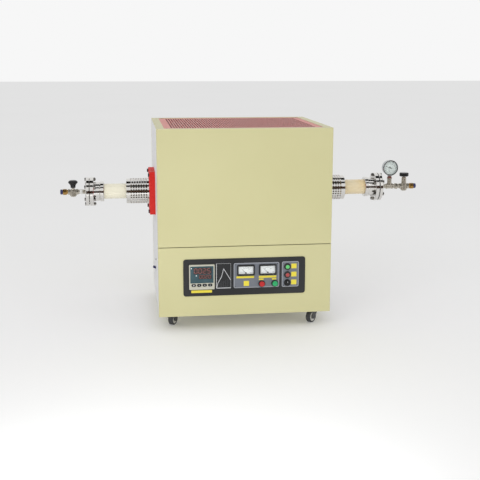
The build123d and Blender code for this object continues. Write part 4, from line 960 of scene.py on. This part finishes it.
def make_display():
    """The controller's dark window, its lit digits and indicators, and the marks on its keys."""
    glass_front = CONTROLLER - 0.3 * MM
    glass = panel_slab((-211.6, -123.6), (130.5, 195.6), glass_front, 0.5, corner=2, edge=0.15)
    settle(glass, "display_glass", "display")
    front = glass_front - 0.12 * MM
    filters = [
        panel_slab((-199, -130.5), (165.5, 190), front, 0.15, corner=1),
        panel_slab((-180, -130.5), (146.5, 163.5), front, 0.15, corner=1),
    ]
    settle(joined(filters), "display_filters", "filter", smooth=20)
    digits = seven_segment("0025", -196, 187, 18.5, 6.2, front - 0.12 * MM)
    digits += seven_segment("0020", -176.5, 161.5, 12.5, 4.4, front - 0.12 * MM)
    settle(joined(digits), "display_digits", "segment", smooth=20)
    places = ((-209, 186.5), (-190.5, 158))
    lights = [panel_slab((x, x + 3.2), (z, z + 3.2), front, 0.15, corner=0.4) for x, z in places]
    settle(joined(lights), "display_indicators", "indicator", smooth=20)
    for name, angle in KEY_MARKS.items():
        node_name = "controller_key_" + name
        low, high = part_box(node_name)
        centre = (low + high) / 2
        mark = added(
            bpy.ops.mesh.primitive_cylinder_add,
            vertices=24 if name == "set" else 3,
            radius=2.4 * MM,
            depth=PRINT,
            location=(centre.x, low.y, centre.z),
            rotation=(math.pi / 2, math.radians(-angle), 0),
        )
        finish_with(mark, "BEVEL", width=0.05 * MM, segments=1)
        settle(mark, "key_mark_" + name, "print", body=node_name)


# The arcs of the scales, in degrees counterclockwise from the right.
METER_ARC = (135, 45)
GAUGE_ARC = (225, -45)


def make_meter_dials():
    """White dials with an arc of marks and plain numbers, behind the meters' panes."""
    recess = 7 * MM
    front = METER_FACE + recess - 0.3 * MM
    ink_front = front - 0.1 * MM
    for name, full_scale in (("voltmeter", 300), ("ammeter", 100)):
        x, _, z = JOINTS[name + "_needle"]["pos_m"]
        face = slab(x, z + 11.2 * MM, 57.3 * MM, 30.3 * MM, front, 0.3 * MM, corner=0.4 * MM, edge=0.1 * MM)
        settle(face, name + "_dial", "dial")
        lengths = (2.6 * MM, 1.5 * MM)
        marks = scale_marks((x, z), ink_front, 18 * MM, METER_ARC, 20, 5, width=0.35 * MM, lengths=lengths)
        values = [full_scale * step // 4 for step in range(5)]
        marks += scale_numbers((x, z), ink_front, 23 * MM, METER_ARC, values, height=3 * MM)
        for side in (-1, 1):
            marks.append(slab(x + side * 20 * MM, z + 1 * MM, 9 * MM, 0.5 * MM, ink_front, PRINT))
        settle(joined(marks), name + "_scale", "ink", smooth=20)


def make_gauge_dial():
    """The gauge's white dial, with its scale, plain numbers and a small ring."""
    pivot = Vector(JOINTS["gauge_needle"]["pos_m"])
    thickness = 0.4 * MM
    front = GAUGE_LOW.y + 9 * MM - thickness
    face = added(
        bpy.ops.mesh.primitive_cylinder_add,
        vertices=64,
        radius=28.2 * MM,
        depth=thickness,
        location=(pivot.x, front + thickness / 2, pivot.z),
        rotation=TURNS["Y"],
    )
    bevelled(face, lambda item: not along(item, 1), 0.1 * MM)
    settle(face, "gauge_dial", "gauge_dial")
    ink_front = front - 0.1 * MM
    centre = (pivot.x, pivot.z)
    lengths = (3.2 * MM, 1.8 * MM)
    marks = scale_marks(centre, ink_front, 22.5 * MM, GAUGE_ARC, 40, 5, width=0.4 * MM, lengths=lengths)
    marks += scale_numbers(centre, ink_front, 18.2 * MM, GAUGE_ARC, range(0, 17, 2), height=4 * MM)
    small_ring = added(
        bpy.ops.mesh.primitive_torus_add,
        major_radius=3.4 * MM,
        minor_radius=0.3 * MM,
        major_segments=32,
        minor_segments=8,
        location=(pivot.x, ink_front, pivot.z - 12.5 * MM),
        rotation=TURNS["Y"],
    )
    settle(joined(marks + [small_ring]), "gauge_scale", "ink", smooth=20)


def make_gauge_seal():
    """The red sealing band and washer between the tee and the gauge."""
    x, y = GAUGE_LOW.x / 2 + GAUGE_HIGH.x / 2, TUBE.y
    low = TUBE.z + 34 * MM
    parts = [
        band((x, y, low + 2.2 * MM), radius=9.2 * MM, width=4.2 * MM, wall=2.8 * MM, axis="Z", edge=0.6 * MM),
        band((x, y, low + 7.4 * MM), radius=8.4 * MM, width=2.0 * MM, wall=2.0 * MM, axis="Z", edge=0.4 * MM),
    ]
    settle(joined(parts), "gauge_seal", "red_seal")


def make_lenses():
    """The two domed pilot lenses."""
    base_y = FASCIA - 5.5 * MM
    reach, rise = 9.9 * MM, 6.1 * MM
    radius = (reach**2 + rise**2) / (2 * rise)
    for name, height in (("green_lens", 183.7), ("red_lens", 152.0)):
        x, z = on_panel(159.8, height)
        dome = added(
            bpy.ops.mesh.primitive_uv_sphere_add,
            segments=48,
            ring_count=32,
            radius=radius,
            location=(x, base_y - rise + radius, z),
            rotation=TURNS["Y"],
        )
        edit(dome, "FACE", lambda item: True)
        bpy.ops.mesh.bisect(plane_co=(x, base_y, z), plane_no=(0, 1, 0), use_fill=True, clear_outer=True)
        leave_edit()
        settle(dome, name, name, smooth=50)


def make_thread_tape():
    """White tape wound on the left pipe where it is screwed into the valve."""
    middle = COVERS_LOW.x - 19.5 * MM
    pipe_radius, pitch = 8.5, 2.6 * MM
    turns = []
    for step, proud in enumerate((0.7, 1.1, 0.9, 0.6)):
        centre = (middle + (step - 1.5) * pitch, TUBE.y, TUBE.z)
        radius = (pipe_radius + proud) * MM
        turns.append(band(centre, radius, width=3.4 * MM, wall=proud * MM, axis="X", edge=0.15 * MM))
    settle(joined(turns), "thread_tape", "tape")


def make_wheel_faces():
    """Pale hub rings set into both sides of each wheel."""
    for corner in WHEELS:
        joint = JOINTS[corner + "_roll"]
        pivot, axis = Vector(joint["pos_m"]), Vector(joint["axis"])
        turn = Matrix.Translation(pivot) @ axis.to_track_quat("Y", "Z").to_matrix().to_4x4()
        rings = []
        for side in (-1, 1):
            centre = (0, side * 6.4 * MM, 0)
            ring = band(centre, radius=18.7 * MM, width=4.4 * MM, wall=9.4 * MM, axis="Y", edge=0.8 * MM)
            ring.data.transform(turn)
            rings.append(ring)
        settle(joined(rings), corner + "_hub_rings", "hub", body=corner + "_wheel")


def make_cabinet_screws():
    """Screws round the rear panel and the fan, and one on the left wall."""
    inset = 12 * MM
    back = REAR_HIGH.y
    height = REAR_HIGH.z - REAR_LOW.z
    places = []
    for x in (REAR_LOW.x + inset, REAR_HIGH.x - inset):
        for share in (0.04, 0.35, 0.66, 0.96):
            places.append((x, back, REAR_LOW.z + share * height))
    screws("rear_screws", places, 4 * MM, FACE_BACK)
    fan = Vector(JOINTS["fan_spin"]["pos_m"])
    half = 52.5 * MM
    places = [(fan.x + i * half, back, fan.z + k * half) for i in (-1, 1) for k in (-1, 1)]
    screws("fan_screws", places, 3.4 * MM, FACE_BACK)
    place = (LEFT_WALL_LOW.x, CENTRE_Y - 77 * MM, UNDERSIDE + 175 * MM)
    screws("wall_screw", [place], 3.2 * MM, FACE_LEFT)


def make_selector_line():
    """A painted glint: a short white line on the selector's grip, in the place of the highlight on the black knob.
    """
    low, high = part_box("selector_knob")
    centre = (low + high) / 2
    line = slab(centre.x, centre.z + 4.4 * MM, 1.4 * MM, 6.4 * MM, low.y - 0.1 * MM, PRINT, corner=0.5 * MM)
    settle(line, "selector_glint", "print", body="selector_knob")


# --- stage ---


def shown_directly(tree):
    """1 on rays that show a surface to the camera, straight, in metal or through glass."""
    path = tree.nodes.new("ShaderNodeLightPath").outputs
    seen = math_node(tree, "MAXIMUM", path["Is Camera Ray"], path["Is Glossy Ray"])
    return math_node(tree, "MAXIMUM", seen, path["Is Transmission Ray"])


def make_floor():
    floor = added(bpy.ops.mesh.primitive_plane_add, size=60)
    floor.name = "studio_floor"
    material, tree = new_finish("Studio Floor", 0.8, Specular_IOR_Level=0.0, Emission_Color=(1, 1, 1, 1))
    cloud = placed_group(tree, "Surface Grain", Tone_Scale=0.6, Grain_Scale=80.0, Bump=0.0)
    tone = mix_colour(tree, cloud["Tone"], linear("f0f0f0"), linear("f4f4f4"))
    glow = math_node(tree, "MULTIPLY", shown_directly(tree), 0.12)
    floor.data.materials.append(with_links(material, Base_Color=tone, Emission_Strength=glow))


# Each dark card's lower and upper edges, in degrees above the level of the tube, and its colour.
CARDS = {
    "front_card": (-9, 13, "4a3020"),
    "high_card": (44, 60, "181818"),
    "top_card": (78, 104, "202020"),
}
CARD_DISTANCE = 2.7
CARD_LENGTH = 9


def make_dark_card(name):
    """A dark strip across the studio that only metal shows."""
    low, high, code = CARDS[name]
    tone = linear(code)
    middle = math.radians((low + high) / 2)
    height = 2 * CARD_DISTANCE * math.tan(math.radians(high - low) / 2)
    centre = TUBE + Vector((0, -CARD_DISTANCE * math.cos(middle), CARD_DISTANCE * math.sin(middle)))
    clear_selection()
    bpy.ops.mesh.primitive_plane_add(size=1, location=centre)
    card = bpy.context.object
    card.name = name
    card.scale = (CARD_LENGTH, height, 1)
    card.rotation_euler = (math.pi / 2 - middle, 0, 0)
    material, tree = new_finish(name + "_cloth", 1.0, Specular_IOR_Level=0.0)
    cloud = placed_group(tree, "Surface Grain", Tone_Scale=2.0, Grain_Scale=60.0, Bump=0.0)
    cloth = mix_colour(tree, cloud["Tone"], darker(tone, 0.7), tone)
    card.data.materials.append(with_links(material, Base_Color=cloth))
    card.visible_camera = False
    card.visible_shadow = False
    card.visible_diffuse = False


# Each lamp's place, the height that it aims at, and its width.
LAMPS = {
    "Key": ((-2.6, -3.4, 3.4), 0.4, 2.4),
    "Fill": ((2.8, -3.0, 1.8), 0.4, 2.6),
    "Low": ((-0.4, -1.7, 0.12), 0.2, 1.0),
}


def make_lamp(name, power):
    place, aim_height, width = LAMPS[name]
    data = bpy.data.lights.new(name, "AREA")
    data.shape = "DISK"
    data.size = width
    data.energy = power
    lamp = bpy.data.objects.new(name, data)
    lamp.location = place
    aim = Vector((CENTRE_X, CENTRE_Y, aim_height))
    lamp.rotation_euler = (aim - Vector(place)).to_track_quat("-Z", "Y").to_euler()
    bpy.context.scene.collection.objects.link(lamp)
    return lamp


def make_world():
    """White where the camera, metal and glass see it, and a softer light on everything else."""
    world = bpy.data.worlds.new("Studio")
    bpy.context.scene.world = world
    world.use_nodes = True
    tree = world.node_tree
    background = tree.nodes["Background"]
    background.inputs["Color"].default_value = (1, 1, 1, 1)
    limits = {"Value": shown_directly(tree), "To Min": settings().sky_light, "To Max": 0.93}
    light = node(tree, "ShaderNodeMapRange", limits)
    tree.links.new(light.outputs["Result"], background.inputs["Strength"])


CAMERA_LENS = 65.75
CAMERA_SHIFT = (-0.0044, -0.053)
CAMERA_TURN = (math.pi / 2 - 0.1818, 0.0021, -0.1332)  # pitch, roll and yaw
CAMERA_PLACE = (CENTRE_X - 0.4433, CENTRE_Y - 3.4922, UNDERSIDE + 0.9819)


def make_camera():
    data = bpy.data.cameras.new("Camera")
    data.lens = CAMERA_LENS
    data.shift_x, data.shift_y = CAMERA_SHIFT
    camera = bpy.data.objects.new("Camera", data)
    pitch, roll, yaw = CAMERA_TURN
    turn = Matrix.Rotation(yaw, 4, "Z") @ Matrix.Rotation(pitch, 4, "X") @ Matrix.Rotation(roll, 4, "Z")
    camera.matrix_world = Matrix.Translation(CAMERA_PLACE) @ turn
    bpy.context.scene.collection.objects.link(camera)
    bpy.context.scene.camera = camera


def make_stage():
    make_floor()
    chosen = settings()
    make_lamp("Key", chosen.key_power)
    make_lamp("Fill", chosen.fill_power)
    low_lamp = make_lamp("Low", chosen.low_power)
    low_lamp.visible_camera = False
    low_lamp.visible_glossy = False
    for name in CARDS:
        make_dark_card(name)
    make_world()
    make_camera()
    bpy.context.scene.view_settings.view_transform = "Standard"


# --- operators and panel ---


class FURNACE_OT_dress(bpy.types.Operator):
    """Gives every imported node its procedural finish"""

    bl_idname = "furnace.dress"
    bl_label = "Finishes"

    def execute(self, context):
        dress_nodes()
        return {"FINISHED"}


class FURNACE_OT_vent(bpy.types.Operator):
    """Models the perforated vent and its screws"""

    bl_idname = "furnace.vent"
    bl_label = "Vent"

    def execute(self, context):
        make_vent()
        return {"FINISHED"}


class FURNACE_OT_guards(bpy.types.Operator):
    """Models the two perforated guards round the work tube"""

    bl_idname = "furnace.guards"
    bl_label = "Tube Guards"

    def execute(self, context):
        make_guards()
        return {"FINISHED"}


class FURNACE_OT_control_panel(bpy.types.Operator):
    """Models the inlays, blank labels, chart and display of the control panel"""

    bl_idname = "furnace.control_panel"
    bl_label = "Control Panel"

    def execute(self, context):
        make_inlays()
        make_labels()
        make_chart()
        make_display()
        make_selector_line()
        return {"FINISHED"}


class FURNACE_OT_dials(bpy.types.Operator):
    """Models the dials of the gauge and the two panel meters"""

    bl_idname = "furnace.dials"
    bl_label = "Dials"

    def execute(self, context):
        make_meter_dials()
        make_gauge_dial()
        return {"FINISHED"}


class FURNACE_OT_lenses(bpy.types.Operator):
    """Models the lenses of the two pilot lamps"""

    bl_idname = "furnace.lenses"
    bl_label = "Pilot Lenses"

    def execute(self, context):
        make_lenses()
        return {"FINISHED"}


class FURNACE_OT_gas_line(bpy.types.Operator):
    """Models the thread tape and the gauge's seal"""

    bl_idname = "furnace.gas_line"
    bl_label = "Gas Line Seals"

    def execute(self, context):
        make_thread_tape()
        make_gauge_seal()
        return {"FINISHED"}


class FURNACE_OT_casters(bpy.types.Operator):
    """Models the pale hub rings of the four wheels"""

    bl_idname = "furnace.casters"
    bl_label = "Wheel Faces"

    def execute(self, context):
        make_wheel_faces()
        return {"FINISHED"}


class FURNACE_OT_screws(bpy.types.Operator):
    """Models the screws of the cabinet and the fan"""

    bl_idname = "furnace.screws"
    bl_label = "Cabinet Screws"

    def execute(self, context):
        make_cabinet_screws()
        return {"FINISHED"}


class FURNACE_OT_stage(bpy.types.Operator):
    """Sets the floor, the lamps, the world and the camera"""

    bl_idname = "furnace.stage"
    bl_label = "Stage"

    def execute(self, context):
        make_stage()
        return {"FINISHED"}


OPERATORS = (
    FURNACE_OT_dress,
    FURNACE_OT_vent,
    FURNACE_OT_guards,
    FURNACE_OT_control_panel,
    FURNACE_OT_dials,
    FURNACE_OT_lenses,
    FURNACE_OT_gas_line,
    FURNACE_OT_casters,
    FURNACE_OT_screws,
    FURNACE_OT_stage,
)


class FURNACE_PT_panel(bpy.types.Panel):
    """Lists the furnace's settings and the operators that model it"""

    bl_label = "Tube Furnace"
    bl_idname = "FURNACE_PT_panel"
    bl_space_type = "VIEW_3D"
    bl_region_type = "UI"
    bl_category = "Furnace"

    def draw(self, context):
        for name in FurnaceSettings.__annotations__:
            self.layout.prop(context.scene.furnace, name)
        for operator in OPERATORS:
            self.layout.operator(operator.bl_idname)


CLASSES = (FurnaceSettings, *OPERATORS, FURNACE_PT_panel)


def register():
    for item in CLASSES:
        bpy.utils.register_class(item)
    bpy.types.Scene.furnace = PointerProperty(type=FurnaceSettings)


def unregister():
    del bpy.types.Scene.furnace
    for item in reversed(CLASSES):
        bpy.utils.unregister_class(item)


def main():
    register()
    for operator in OPERATORS:
        group, name = operator.bl_idname.split(".")
        getattr(getattr(bpy.ops, group), name)()


if __name__ == "__main__":
    main()
